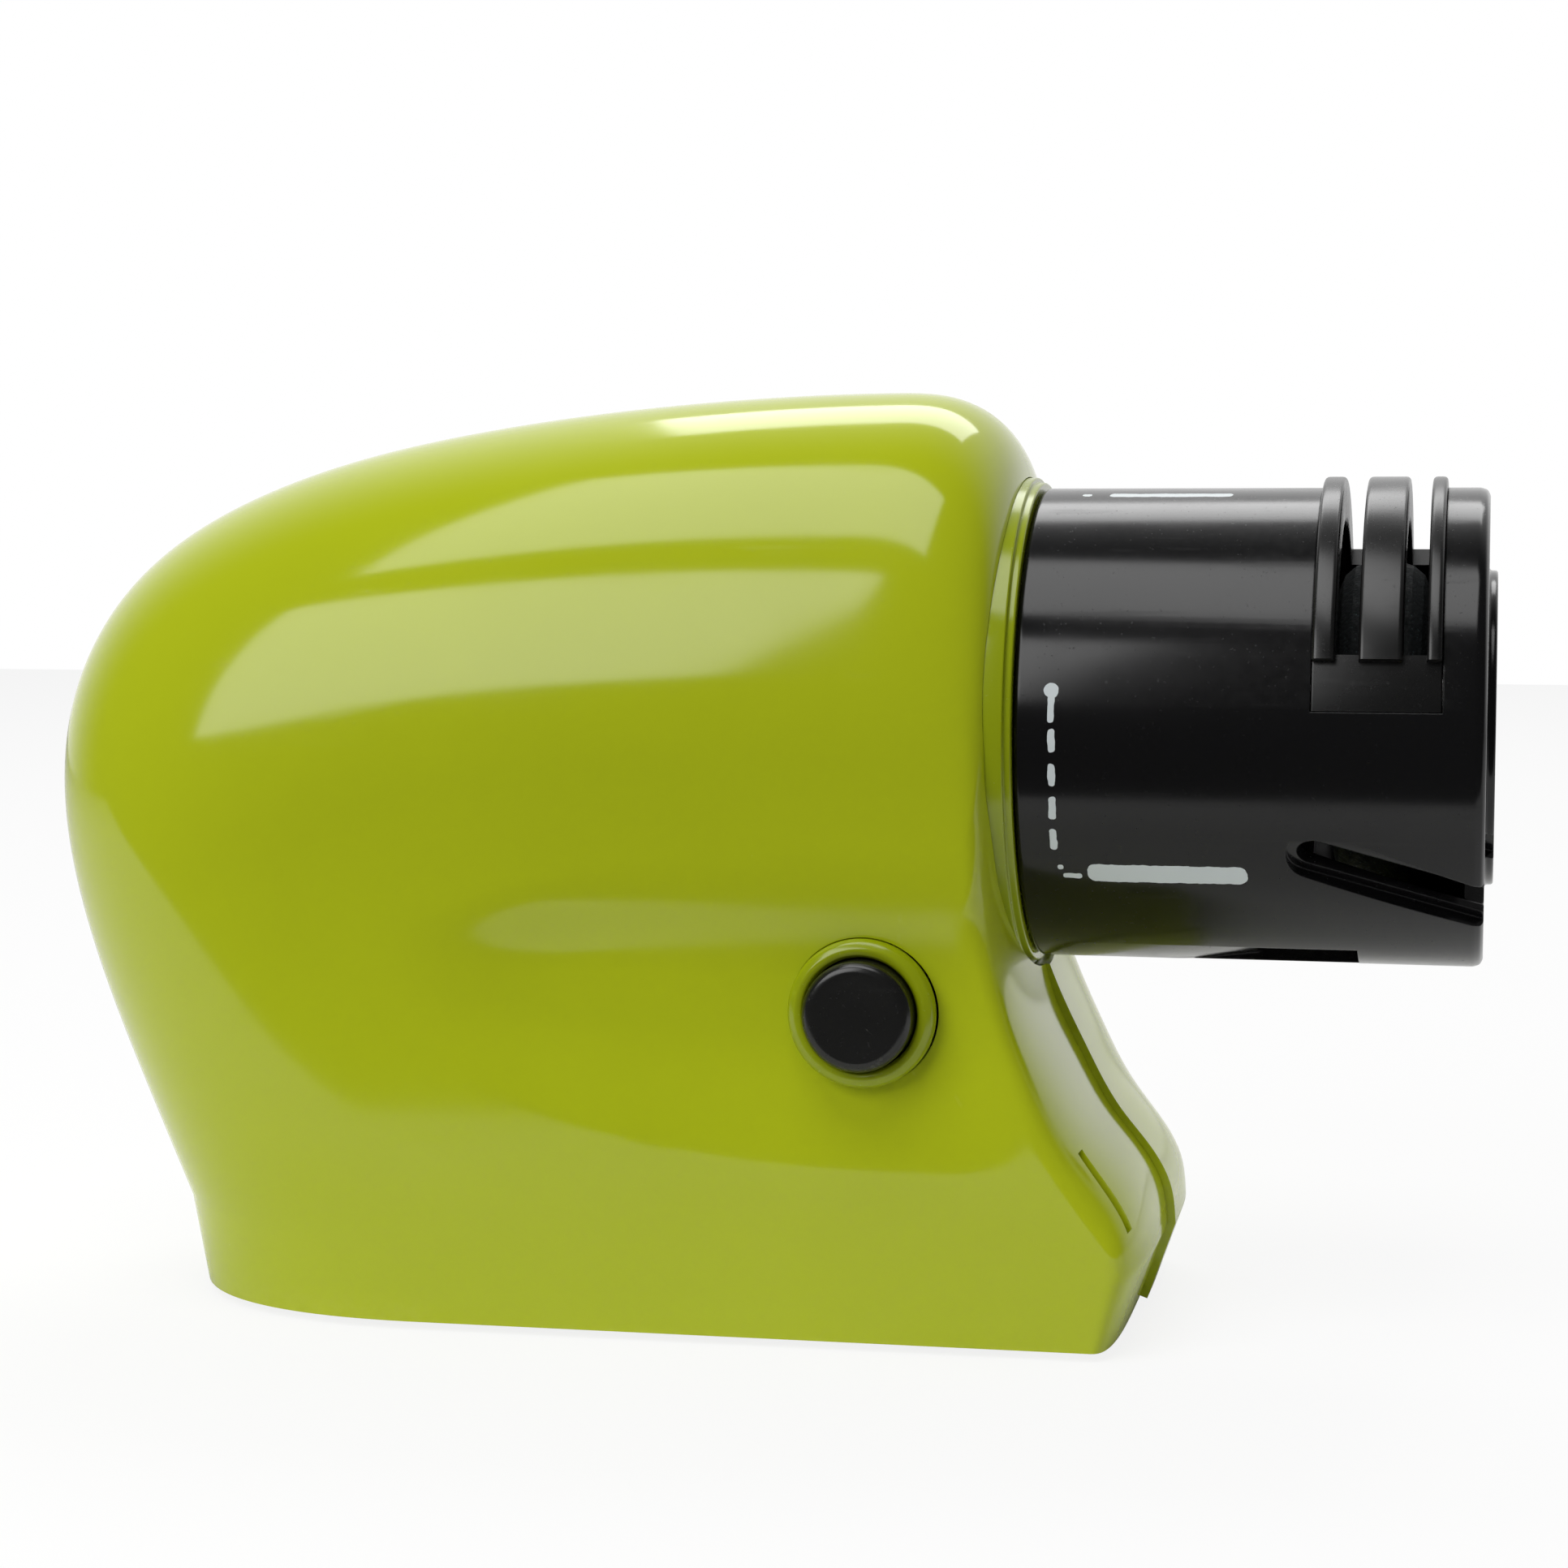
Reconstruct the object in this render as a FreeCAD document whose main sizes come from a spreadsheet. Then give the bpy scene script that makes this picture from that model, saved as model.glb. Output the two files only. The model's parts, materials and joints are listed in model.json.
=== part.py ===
import FreeCAD, Part
import math
import os

import Sketcher
from FreeCAD import Placement, Rotation, Vector

# Battery-powered knife sharpener. Millimetres, +Z up. X runs along the head, which points to +X.
# Y = 0 is the joint of the two body shells and the side with the button faces -Y.
# The origin is on the table, under the middle of the whole object.

doc = FreeCAD.newDocument("KnifeSharpener")
sheet = doc.addObject("Spreadsheet::Sheet", "Sizes")

SIZES = {
    # body shells
    "foot_radius": 4.0,
    "foot_inset": 10.0,
    "shell_bottom": 0.8,
    "body_length": 140.4,
    "body_height": 110.3,
    "body_rear": -89.2,
    "base_half_width": 30.5,
    "widest_at": -41.7,
    "side_taper": 0.03,
    "side_draft": 0.045,
    "wall": 2.4,
    "seam_step": 1.0,
    "scoop_depth": 1.3,
    "scoop_length": 105.0,
    "scoop_height": 34.5,
    "rib_from_motor_end": 6.0,
    # head axis and the parts that turn about it
    "axis_height": 71.3,
    "neck_to_drum": 9.6,
    "drum_length": 52.2,
    "drum_radius": 28.2,
    "drum_wall": 2.6,
    "drum_edge": 1.2,
    "web_thickness": 2.4,
    "cap_thickness": 2.2,
    "cap_disc_radius": 18.5,
    "cap_disc_proud": 1.0,
    "drum_to_guide": 33.0,
    "guide_width": 14.4,
    "guide_turn": 14.0,
    "guide_half_angle": 69.5,
    "rib_proud": 1.3,
    "rib_half_angle": 58.0,
    "rear_rib_width": 2.6,
    "slot_width": 2.6,
    "middle_rib_width": 4.8,
    "slot_floor": 14.9,
    "scissors_turn": 124.5,
    "scissors_slant": 22.0,
    "scissors_width": 3.8,
    "scissors_mouth": 6.2,
    "scissors_mouth_depth": 1.6,
    "scissors_length": 20.2,
    "scissors_depth": 11.0,
    "drum_to_driver": 26.0,
    "driver_length": 12.0,
    "driver_width": 11.0,
    "driver_turn": 165.0,
    "driver_ramp": 12.0,
    "driver_ramp_depth": 1.6,
    "collar_radius": 29.5,
    "collar_step_radius": 28.9,
    "collar_bore": 26.2,
    "collar_step": 0.9,
    "neck_from_front": 24.8,
    "neck_flange_radius": 28.5,
    "neck_flange_thickness": 3.0,
    "neck_radius": 19.0,
    "neck_bore": 16.4,
    "neck_end_wall": 3.0,
    "neck_in_drum": 30.0,
    "retainer_radius": 21.5,
    "retainer_thickness": 1.5,
    "detent_radius": 22.4,
    "ball_radius": 1.5,
    "ball_set_back": 0.55,
    "groove_depth": 1.1,
    "detent_boss_radius": 3.0,
    # stone, spindle and motor
    "wheel_radius": 19.5,
    "wheel_width": 10.5,
    "wheel_crown": 3.2,
    "washer_radius": 8.0,
    "washer_thickness": 1.3,
    "nut_radius": 5.6,
    "nut_thickness": 2.6,
    "spindle_radius": 3.0,
    "spindle_tail": 6.4,
    "bush_radius": 5.5,
    "bush_length": 6.0,
    "bush_flange": 1.0,
    "coupling_overlap": 3.6,
    "coupling_length": 7.6,
    "coupling_radius": 5.0,
    "motor_to_neck": 12.4,
    "motor_length": 50.0,
    "motor_radius": 17.9,
    "can_wall": 1.2,
    "motor_nose_radius": 5.0,
    "motor_nose": 2.0,
    "end_cap_length": 3.0,
    "shaft_radius": 1.6,
    "magnet_thickness": 3.0,
    "rotor_radius": 12.8,
    "rotor_length": 26.0,
    "winding_radius": 10.5,
    "winding_length": 4.5,
    "commutator_radius": 3.6,
    "commutator_length": 5.0,
    # push button and its switch
    "button_to_neck": 7.4,
    "button_z": 39.5,
    "button_radius": 6.35,
    "button_travel": 2.2,
    "button_proud": 2.7,
    "bezel_radius": 8.6,
    "bezel_proud": 2.2,
    "bezel_seat": 29.2,
    "bezel_spigot": 7.9,
    "bezel_length": 3.4,
    "plunger_radius": 2.0,
    "switch_half_width": 6.0,
    "switch_half_height": 5.5,
    "switch_front": 20.0,
    "switch_depth": 11.0,
    "spring_wire": 0.5,
    "spring_radius": 4.0,
    # batteries, their holder, the base plate and its door
    "cell_length": 50.5,
    "cell_radius": 7.15,
    "cell_spacing": 15.0,
    "cell_level": 11.4,
    "holder_from_rear": 26.2,
    "holder_wall": 1.5,
    "contact_thickness": 0.5,
    "contact_gap": 3.4,
    "plate_bottom": 1.4,
    "plate_thickness": 2.0,
    "plate_clearance": 0.25,
    "door_thickness": 1.7,
    "hinge_to_holder": 1.6,
    "hinge_radius": 1.4,
    "hinge_half_length": 10.0,
    "hinge_pin_radius": 0.7,
    "lug_length": 4.0,
    "lug_half_width": 1.6,
    "lug_height": 2.4,
    # fasteners and fits
    "post_radius": 3.4,
    "well_post_radius": 5.0,
    "well_radius": 3.2,
    "well_floor": 6.0,
    "post_to_motor": 10.4,
    "plate_screw_inset": 8.7,
    "screw_radius": 1.4,
    "screw_head_radius": 2.8,
    "screw_head_height": 2.0,
    "screw_depth": 10.0,
    "screw_clearance": 0.15,
    "plate_screw_length": 9.0,
    "plate_screw_sink": 1.3,
    "block_height": 10.6,
    "wire_radius": 0.8,
    "gap": 0.2,
    "running_fit": 0.08,
}

# Places that follow from the sizes, so that pieces that fit together move together.
PLACES = {
    "neck_start": "body_rear + body_length - neck_from_front",
    "drum_start": "neck_start + neck_to_drum",
    "guide_start": "drum_start + drum_to_guide",
    "driver_start": "drum_start + drum_to_driver",
    "collar_front": "drum_start - gap",
    "neck_end": "drum_start + neck_in_drum",
    "wheel_middle": "guide_start + guide_width / 2",
    "spindle_start": "neck_start - spindle_tail",
    "coupling_start": "spindle_start - coupling_overlap",
    "motor_start": "neck_start - motor_to_neck - motor_length",
    "button_x": "neck_start - button_to_neck",
    "holder_rear": "body_rear + holder_from_rear",
    "holder_front": "holder_rear + cell_length + contact_gap + 3 * contact_thickness + 2 * holder_wall",
    "hinge_x": "holder_front + hinge_to_holder",
}
for row, (alias, value) in enumerate([*SIZES.items(), *PLACES.items()], 1):
    sheet.set(f"A{row}", alias)
    sheet.set(f"B{row}", f"={value}" if alias in PLACES else str(value))
    sheet.setAlias(f"B{row}", alias)
doc.recompute()

# Side view of the body, from the crease above the rear foot over the crown and down the front to
# the nose. Each entry pairs a point of the middle line with the point of the flat side that it
# curves round to, both as shares of the body's length from the rear and of its height.
SIDE_VIEW = [
    ((0.121, 0.097), (0.381, 0.097)),
    ((0.075, 0.236), (0.345, 0.227)),
    ((0.032, 0.383), (0.310, 0.363)),
    ((0.008, 0.539), (0.285, 0.490)),
    ((0.018, 0.675), (0.310, 0.544)),
    ((0.067, 0.789), (0.353, 0.567)),
    ((0.204, 0.900), (0.438, 0.589)),
    ((0.370, 0.956), (0.538, 0.603)),
    ((0.573, 0.989), (0.659, 0.612)),
    ((0.759, 1.000), (0.759, 0.617)),
    ((0.812, 0.994), (0.798, 0.615)),
    ((0.848, 0.970), (0.823, 0.603)),
    ((0.870, 0.932), (0.839, 0.580)),
    ((0.880, 0.879), (0.846, 0.544)),
    ((0.882, 0.762), (0.848, 0.508)),
    ((0.882, 0.580), (0.848, 0.462)),
    ((0.885, 0.417), (0.851, 0.408)),
    ((0.903, 0.328), (0.871, 0.331)),
    ((0.922, 0.279), (0.885, 0.277)),
    ((0.952, 0.212), (0.915, 0.190)),
    ((0.979, 0.169), (0.942, 0.131)),
    ((0.996, 0.127), (0.960, 0.095)),
    ((1.000, 0.086), (0.964, 0.073)),
]
FOOT_POINT = ((0.135, 0.0), (0.395, 0.0))
LIP_POINT = ((0.976, 0.0), (0.954, 0.0))
FIRST_BROW_POINT = 9
FIRST_NOSE_POINT = 16
CROWN_POWER = 2.0
REAR_POWER = 2.3
FRONT_POWER = 3.5
SECTION_SHARES = (0, 0.25, 0.5, 0.7, 0.84, 0.93, 0.98, 1)

# Screws that hold the two shells together, as shares of the body's length and height. One more is
# under the motor.
SHELL_SCREW_SHARES = [(0.1225, 0.5367), (0.3077, 0.8586), (0.7635, 0.9130), (0.9060, 0.1197)]
FOOT_SHARES = (0.3077, 0.9060)
PLATE_SCREW_SHARES = (0.6282, 0.8063)
RETAINER_SCREW_ANGLES = (90, 210, 330)

nodes = []


def size(alias):
    return float(sheet.get(alias))


def number(expression):
    return float(sheet.evalExpression(expression))


def named(expression):
    """An expression in which a word is a size of the sheet."""
    words = []
    for word in expression.replace("(", "( ").replace(")", " )").split():
        words.append("Sizes." + word if word in SIZES or word in PLACES else word)
    return " ".join(words)


def keep(piece, label):
    piece.Label = label
    nodes.append(piece)
    return piece


def from_shape(label, shape):
    piece = doc.addObject("Part::Feature", label)
    piece.Shape = shape
    return keep(piece, label)


# Turned pieces

TURNED_TO = {
    "+X": Rotation(),
    "-Y": Rotation(Vector(0, 0, 1), -90),
    "+Y": Rotation(Vector(0, 0, 1), 90),
    "+Z": Rotation(Vector(0, 1, 0), -90),
}


def closed_outline(sketch, points):
    """Straight lines through points, each given by two expressions that place it."""
    places = [(number(named(x)), number(named(y))) for x, y in points]
    count = len(points)
    for i in range(count):
        start = Vector(*places[i], 0)
        end = Vector(*places[(i + 1) % count], 0)
        sketch.addGeometry(Part.LineSegment(start, end))
    for i in range(count):
        sketch.addConstraint(Sketcher.Constraint("Coincident", i, 2, (i + 1) % count, 1))
    for i, point in enumerate(points):
        for direction, axis in ((0, -2), (1, -1)):
            if point[direction] == "0":
                sketch.addConstraint(Sketcher.Constraint("PointOnObject", i, 1, axis))
                continue
            kind = ("DistanceX", "DistanceY")[direction]
            datum = Sketcher.Constraint(kind, -1, 1, i, 1, places[i][direction])
            index = sketch.addConstraint(datum)
            sketch.setExpression(f"Constraints[{index}]", named(point[direction]))


def turned(name, points, place=("0", "0", "axis_height"), facing="+X", profile_plane="XY_Plane"):
    """A body turned about its own X axis. points are (distance along the axis, radius)."""
    body = doc.addObject("PartDesign::Body", name)
    plane = [f for f in body.Origin.OriginFeatures if f.Role == profile_plane][0]
    sketch = body.newObject("Sketcher::SketchObject", name + "_outline")
    sketch.AttachmentSupport = [(plane, "")]
    sketch.MapMode = "FlatFace"
    closed_outline(sketch, points)
    feature = body.newObject("PartDesign::Revolution", name + "_turned")
    feature.Profile = sketch
    feature.ReferenceAxis = (sketch, ["H_Axis"])
    feature.Angle = 360
    body.Tip = feature
    body.Placement = Placement(Vector(), TURNED_TO[facing])
    for letter, expression in zip("xyz", place):
        body.setExpression(f"Placement.Base.{letter}", named(expression))
    return body


def ring(name, start, length, radius, bore, **place):
    """A plain ring, or a disc if its bore is 0."""
    end = f"{start} + {length}"
    return turned(name, [(start, bore), (end, bore), (end, radius), (start, radius)], **place)


# Pieces made from boxes and rods

def block(name, x, y, z):
    """A box from lowest to highest place in each direction, all given as expressions."""
    box = doc.addObject("Part::Box", name)
    for side, letter, (low, high) in zip(("Length", "Width", "Height"), "xyz", (x, y, z)):
        box.setExpression(side, named(f"( {high} ) - ( {low} )"))
        box.setExpression(f"Placement.Base.{letter}", named(low))
    return box


def rod(name, start, radius, length, facing="+X"):
    """A cylinder from its start, along the direction that it faces."""
    cylinder = doc.addObject("Part::Cylinder", name)
    turn = {"+X": Rotation(Vector(0, 1, 0), 90), "+Y": Rotation(Vector(1, 0, 0), -90), "+Z": Rotation()}
    cylinder.Placement = Placement(Vector(), turn[facing])
    cylinder.setExpression("Radius", named(radius))
    cylinder.setExpression("Height", named(length))
    for letter, expression in zip("xyz", start):
        cylinder.setExpression(f"Placement.Base.{letter}", named(expression))
    return cylinder


def cut(name, base, *tools):
    """base with the tools taken out of it one after another."""
    for index, tool in enumerate(tools):
        result = doc.addObject("Part::Cut", name if index == len(tools) - 1 else f"{name}_{index}")
        result.Base = base
        result.Tool = tool
        base = result
    return base


def join(name, *pieces):
    result = doc.addObject("Part::MultiFuse", name)
    result.Shapes = list(pieces)
    return result


def group(name, pieces):
    result = doc.addObject("Part::Compound", name)
    result.Links = list(pieces)
    return result


# The body's outside, and the same form set inwards

def side_place(share_point):
    return (
        size("body_rear") + share_point[0] * size("body_length"),
        size("shell_bottom") + share_point[1] * size("body_height"),
    )


def shell_screw_places():
    """(x, z) of each screw that joins the two shells."""
    under_motor = size("axis_height") - size("motor_radius") - size("post_to_motor")
    return [side_place(share) for share in SHELL_SCREW_SHARES] + [(size("motor_start") + 24.0, under_motor)]


def beside_edge(shares, from_side):
    """(x, y) of pieces in pairs on the base, so far in from the body's sides."""
    across = size("base_half_width") - from_side
    return [(side_place((share, 0.0))[0], side * across) for share in shares for side in (-1, 1)]


def foot_places():
    return beside_edge(FOOT_SHARES, size("foot_inset"))


def plate_screw_places():
    return beside_edge(PLATE_SCREW_SHARES, size("plate_screw_inset"))


def half_width(x, z):
    taper = size("side_taper") * (x - size("widest_at"))
    return size("base_half_width") - taper + size("side_draft") * (z - size("shell_bottom"))


def rounding(share, power):
    """1 on the middle line and 0 at the flat side, along a superellipse."""
    return max(0.0, 1.0 - abs(share) ** power) ** (1.0 / power)


def set_in(points, inset):
    """The middle line moved inwards by inset, square to itself."""
    moved = []
    for i, (x, z) in enumerate(points):
        before = points[max(i - 1, 0)]
        after = points[min(i + 1, len(points) - 1)]
        along = Vector(after[0] - before[0], 0, after[1] - before[1]).normalize()
        moved.append((x + inset * along.z, z - inset * along.x))
    return moved


def nose_step(index, step):
    """How far the middle line stands forward down the nose, where one shell laps past the other."""
    return step if index > FIRST_NOSE_POINT else 0.0


def body_section(share, side, inset, depth, step):
    """Outline of the body where it is cut at a share of the way from the middle to the side."""
    middle = [side_place(point) for point, _ in SIDE_VIEW]
    middle = [(x + nose_step(i, step), z) for i, (x, z) in enumerate(middle)]
    middle = set_in(middle, inset)
    foot = side_place(FOOT_POINT[0])
    lip = side_place(LIP_POINT[0])
    foot = (foot[0] + inset, foot[1] - depth)
    lip = (lip[0] - inset + step, lip[1] - depth)

    def point(middle_point, side_point, x_power, z_power):
        x = side_point[0] + (middle_point[0] - side_point[0]) * rounding(share, x_power)
        z = side_point[1] + (middle_point[1] - side_point[1]) * rounding(share, z_power)
        return Vector(x, side * share * (half_width(x, z) - inset), z)

    curve_points = []
    for i, (middle_point, pair) in enumerate(zip(middle, SIDE_VIEW)):
        x_power = REAR_POWER if i < FIRST_BROW_POINT else FRONT_POWER
        z_power = CROWN_POWER if i < FIRST_NOSE_POINT else FRONT_POWER
        curve_points.append(point(middle_point, side_place(pair[1]), x_power, z_power))
    knots = [0.0]
    for one, other in zip(SIDE_VIEW, SIDE_VIEW[1:]):
        (x1, z1), (x2, z2) = side_place(one[0]), side_place(other[0])
        knots.append(knots[-1] + math.hypot(x2 - x1, z2 - z1))
    curve = Part.BSplineCurve()
    curve.interpolate(Points=curve_points, Parameters=knots)
    foot_side = side_place(FOOT_POINT[1])
    lip_side = side_place(LIP_POINT[1])
    foot_point = point(foot, (foot_side[0], foot_side[1] - depth), REAR_POWER, CROWN_POWER)
    lip_point = point(lip, (lip_side[0], lip_side[1] - depth), FRONT_POWER, FRONT_POWER)
    return Part.Wire([
        Part.makeLine(foot_point, curve_points[0]),
        curve.toShape(),
        Part.makeLine(curve_points[-1], lip_point),
        Part.makeLine(lip_point, foot_point),
    ])


def half_body(side, inset=0.0, depth=0.0, past_middle=0.0, step=0.0):
    """One half of the body's solid form. side is -1 or 1."""
    shares = list(SECTION_SHARES)
    if past_middle:
        shares[0] = -past_middle
    sections = [body_section(share, side, inset, depth, step) for share in shares]
    return Part.makeLoft(sections, True, False)


def box_shape(x, y, z):
    corner = Vector(x[0], y[0], z[0])
    return Part.makeBox(x[1] - x[0], y[1] - y[0], z[1] - z[0], corner)


def rod_shape(start, direction, length, radius):
    return Part.makeCylinder(radius, length, Vector(*start), Vector(*direction))


def shell(side):
    """One body shell with its wall, scoop, ribs and screw posts. side is -1 near and 1 far."""
    step = size("seam_step") if side > 0 else 0.0
    outside = half_body(side, step=step)
    inside = half_body(side, inset=size("wall"), depth=10.0, past_middle=0.04, step=step)
    result = outside.cut(inside)
    axis = size("axis_height")
    reach = 2 * size("base_half_width")
    low, high = sorted((0.0, side * reach))
    result = result.fuse([rib.common(outside) for rib in shell_ribs(low, high)])
    posts = shell_posts(side, reach) + plate_blocks(side, reach)
    result = result.fuse([post.common(outside) for post in posts])
    if side < 0:
        result = result.fuse([rib.common(outside) for rib in switch_ribs()])
    result = result.cut(scoop_shape(side))
    clearance = size("gap") / 2
    hole = rod_shape((size("neck_start"), 0, axis), (1, 0, 0), reach, size("collar_radius") + clearance)
    result = result.cut([hole] + screw_holes(side, reach))
    if side < 0:
        result = result.cut(button_cuts())
        result = result.cut(pry_slot())
    return result.removeSplitter()


def shell_ribs(low, high):
    """Ribs round the sides and top of the motor at its two ends, and behind the neck's flange."""
    axis = size("axis_height")
    motor_front = size("motor_start") + size("motor_length")
    thickness = size("wall")
    offset = size("rib_from_motor_end")
    motor_bore = size("motor_radius") + size("gap")
    neck_bore = size("neck_flange_radius") - 2 * thickness
    places = [
        (size("motor_start") + offset, motor_bore),
        (motor_front - offset - thickness, motor_bore),
        (size("neck_start") - size("gap") - thickness, neck_bore),
    ]
    ribs = []
    for start, bore in places:
        slab = box_shape((start, start + thickness), (low, high), (axis - 0.75 * bore, 2 * axis))
        opening = rod_shape((start - 1, 0, axis), (1, 0, 0), thickness + 2, bore)
        ribs.append(slab.cut(opening))
    return ribs


def shell_posts(side, reach):
    radius = size("well_post_radius") if side > 0 else size("post_radius")
    return [rod_shape((x, 0, z), (0, side, 0), reach, radius) for x, z in shell_screw_places()]


def plate_blocks(side, reach):
    """Blocks beside the wall that take the base plate's screws."""
    low = size("plate_bottom") + size("plate_thickness")
    half = size("post_radius")
    blocks = []
    for x, y in plate_screw_places():
        if y * side > 0:
            y_range = sorted((y - side * half, side * reach))
            blocks.append(box_shape((x - half, x + half), y_range, (low, low + size("block_height"))))
    return blocks


def screw_holes(side, reach):
    """Screw wells in the far shell, pilot holes in the near one, and both shells' base plate screws."""
    depth = size("plate_screw_length")
    bottom = size("plate_bottom")
    holes = [rod_shape((x, y, bottom), (0, 0, 1), depth, size("screw_radius"))
             for x, y in plate_screw_places() if y * side > 0]
    for x, z in shell_screw_places():
        if side > 0:
            holes.append(rod_shape((x, size("well_floor"), z), (0, 1, 0), reach, size("well_radius")))
            bore = size("screw_radius") + size("screw_clearance")
            holes.append(rod_shape((x, -1, z), (0, 1, 0), reach, bore))
        else:
            depth = size("screw_depth") + 1.0
            holes.append(rod_shape((x, 1, z), (0, -1, 0), depth + 1, size("screw_radius")))
    return holes


def switch_ribs():
    """Two shelves of the near shell that hold the switch from above and below."""
    half = size("switch_half_width")
    x = (size("button_x") - half - 4.0, size("neck_start") - 3 * size("gap"))
    y = (-2 * size("base_half_width"), size("switch_depth") - size("switch_front") - 2.0)
    gap = size("gap")
    upper = size("button_z") + size("switch_half_height") + gap
    lower = size("button_z") - size("switch_half_height") - gap
    thickness = size("wall") - 0.4
    return [box_shape(x, y, (upper, upper + thickness)), box_shape(x, y, (lower - thickness, lower))]


def scoop_shape(side):
    """A shallow oval hollow in the side, round the button, as the near part of an ellipsoid."""
    bulge = 6.0 * size("scoop_depth")
    ball = Part.makeSphere(1.0)
    stretch = FreeCAD.Matrix()
    stretch.A11 = size("scoop_length")
    stretch.A22 = bulge
    stretch.A33 = size("scoop_height")
    ball = ball.transformGeometry(stretch)
    tilt = math.degrees(math.atan(size("side_draft")))
    ball.rotate(Vector(), Vector(1, 0, 0), side * -tilt)
    ball.rotate(Vector(), Vector(0, 0, 1), side * -math.degrees(math.atan(size("side_taper"))))
    x, z = size("button_x") + 3.0, size("button_z")
    surface = half_width(x, z)
    ball.translate(Vector(x, side * (surface + bulge - size("scoop_depth")), z))
    return ball


def button_cuts():
    """The bezel's flat seat in the near wall and the hole through it."""
    start = (size("button_x"), -size("bezel_seat"), size("button_z"))
    seat = rod_shape(start, (0, -1, 0), 20.0, size("bezel_radius") + size("gap") / 2)
    behind = (size("button_x"), -size("bezel_seat") + 10.0, size("button_z"))
    hole = rod_shape(behind, (0, -1, 0), 20.0, size("bezel_spigot") + size("gap") / 2)
    return [seat, hole]


def pry_slot():
    """The narrow recess low on the front face, beside the near edge."""
    upper = side_place((0.935, 0.190))
    lower = side_place((0.985, 0.118))
    length = math.hypot(lower[0] - upper[0], lower[1] - upper[1])
    slot = Part.makeBox(length, 1.5, 5.0, Vector(0, 0, -1.6))
    angle = math.degrees(math.atan2(upper[1] - lower[1], lower[0] - upper[0]))
    slot.rotate(Vector(), Vector(0, 1, 0), angle)
    slot.translate(Vector(upper[0] - 0.6, -size("base_half_width") + 5.2, upper[1]))
    return slot


# Base plate, feet and battery door

def base_plate():
    inset = size("wall") + size("plate_clearance")
    bottom = size("plate_bottom")
    top = bottom + size("plate_thickness")
    reach = size("body_length")
    slab = box_shape((-reach, reach), (-reach, reach), (bottom, top))
    halves = [half_body(side, inset=inset, depth=4.0).common(slab) for side in (-1, 1)]
    plate = halves[0].fuse(halves[1]).removeSplitter()
    x_rear, x_front, half, _, _ = door_opening()
    plate = plate.cut(box_shape((x_rear, x_front), (-half, half), (bottom - 1, top + 1)))
    hinge = size("hinge_x")
    round_it = size("hinge_radius") + size("gap")
    notch = size("hinge_half_length")
    plate = plate.cut(box_shape((x_front - 1, hinge + round_it), (-notch, notch), (bottom - 1, top + 1)))
    level = hinge_level()
    lug = size("lug_half_width")
    lugs = []
    for side in (-1, 1):
        y = sorted((side * (notch + size("gap")), side * (notch + size("lug_length"))))
        lugs.append(box_shape((hinge - lug, hinge + lug), y, (top - 0.5, level + size("lug_height"))))
    plate = plate.fuse(lugs).removeSplitter()
    pin_length = 2 * (notch + size("lug_length"))
    bore = rod_shape((hinge, -pin_length / 2, level), (0, 1, 0), pin_length, size("hinge_pin_radius"))
    return plate.cut([bore] + plate_screw_seats(bottom))


def plate_screw_seats(bottom):
    """Holes through the base plate, each with a cone for a flat screw head."""
    bore = size("screw_radius") + size("screw_clearance")
    head = size("screw_head_radius") + size("screw_clearance")
    seats = []
    for x, y in plate_screw_places():
        seats.append(rod_shape((x, y, bottom - 1), (0, 0, 1), 4 * size("plate_thickness"), bore))
        seats.append(Part.makeCone(head, bore, size("plate_screw_sink"), Vector(x, y, bottom)))
    return seats


def holder_x():
    """Where the battery holder starts and ends along X."""
    return size("holder_rear"), size("holder_front")


def holder_half_width():
    return size("cell_spacing") / 2 + size("cell_radius") + size("gap")


def hinge_level():
    return size("plate_bottom") + size("hinge_radius") - 0.4


def door_opening():
    rear, front = holder_x()
    wall = size("holder_wall")
    return rear + wall, front - wall, holder_half_width(), rear, front


def battery_door():
    """The door plate with a knuckle at its front end for the hinge pin, and a thumb groove."""
    x_rear, x_front, half, _, _ = door_opening()
    gap = size("gap")
    bottom = size("plate_bottom")
    top = bottom + size("door_thickness")
    plate = box_shape((x_rear + gap, x_front - gap), (gap - half, half - gap), (bottom, top))
    notch = size("hinge_half_length") - gap
    tongue = box_shape((x_front - 2, size("hinge_x")), (-notch, notch), (bottom, top))
    start = (size("hinge_x"), -notch, hinge_level())
    knuckle = rod_shape(start, (0, 1, 0), 2 * notch, size("hinge_radius"))
    door = plate.fuse([tongue, knuckle]).removeSplitter()
    door = door.cut(rod_shape(start, (0, 1, 0), 2 * notch, size("hinge_pin_radius") + size("running_fit")))
    groove = rod_shape((x_rear + 7.0, -7.0, bottom - 2.4), (0, 1, 0), 14.0, 3.2)
    return door.cut(groove)


def battery_holder():
    _, _, half, rear, front = door_opening()
    wall = size("holder_wall")
    bottom = size("plate_bottom") + size("plate_thickness")
    top = size("cell_level") + size("cell_spacing") + size("cell_radius") + size("gap")
    outside = box_shape((rear, front), (-half - wall, half + wall), (bottom, top + wall))
    inside = box_shape((rear + wall, front - wall), (-half, half), (bottom - 1, top))
    holder = outside.cut(inside)
    middle = box_shape((rear + wall, front - wall), (-0.2, 0.2), (top - 4.0, top + 0.5))
    return holder.fuse(middle).removeSplitter()


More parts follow.
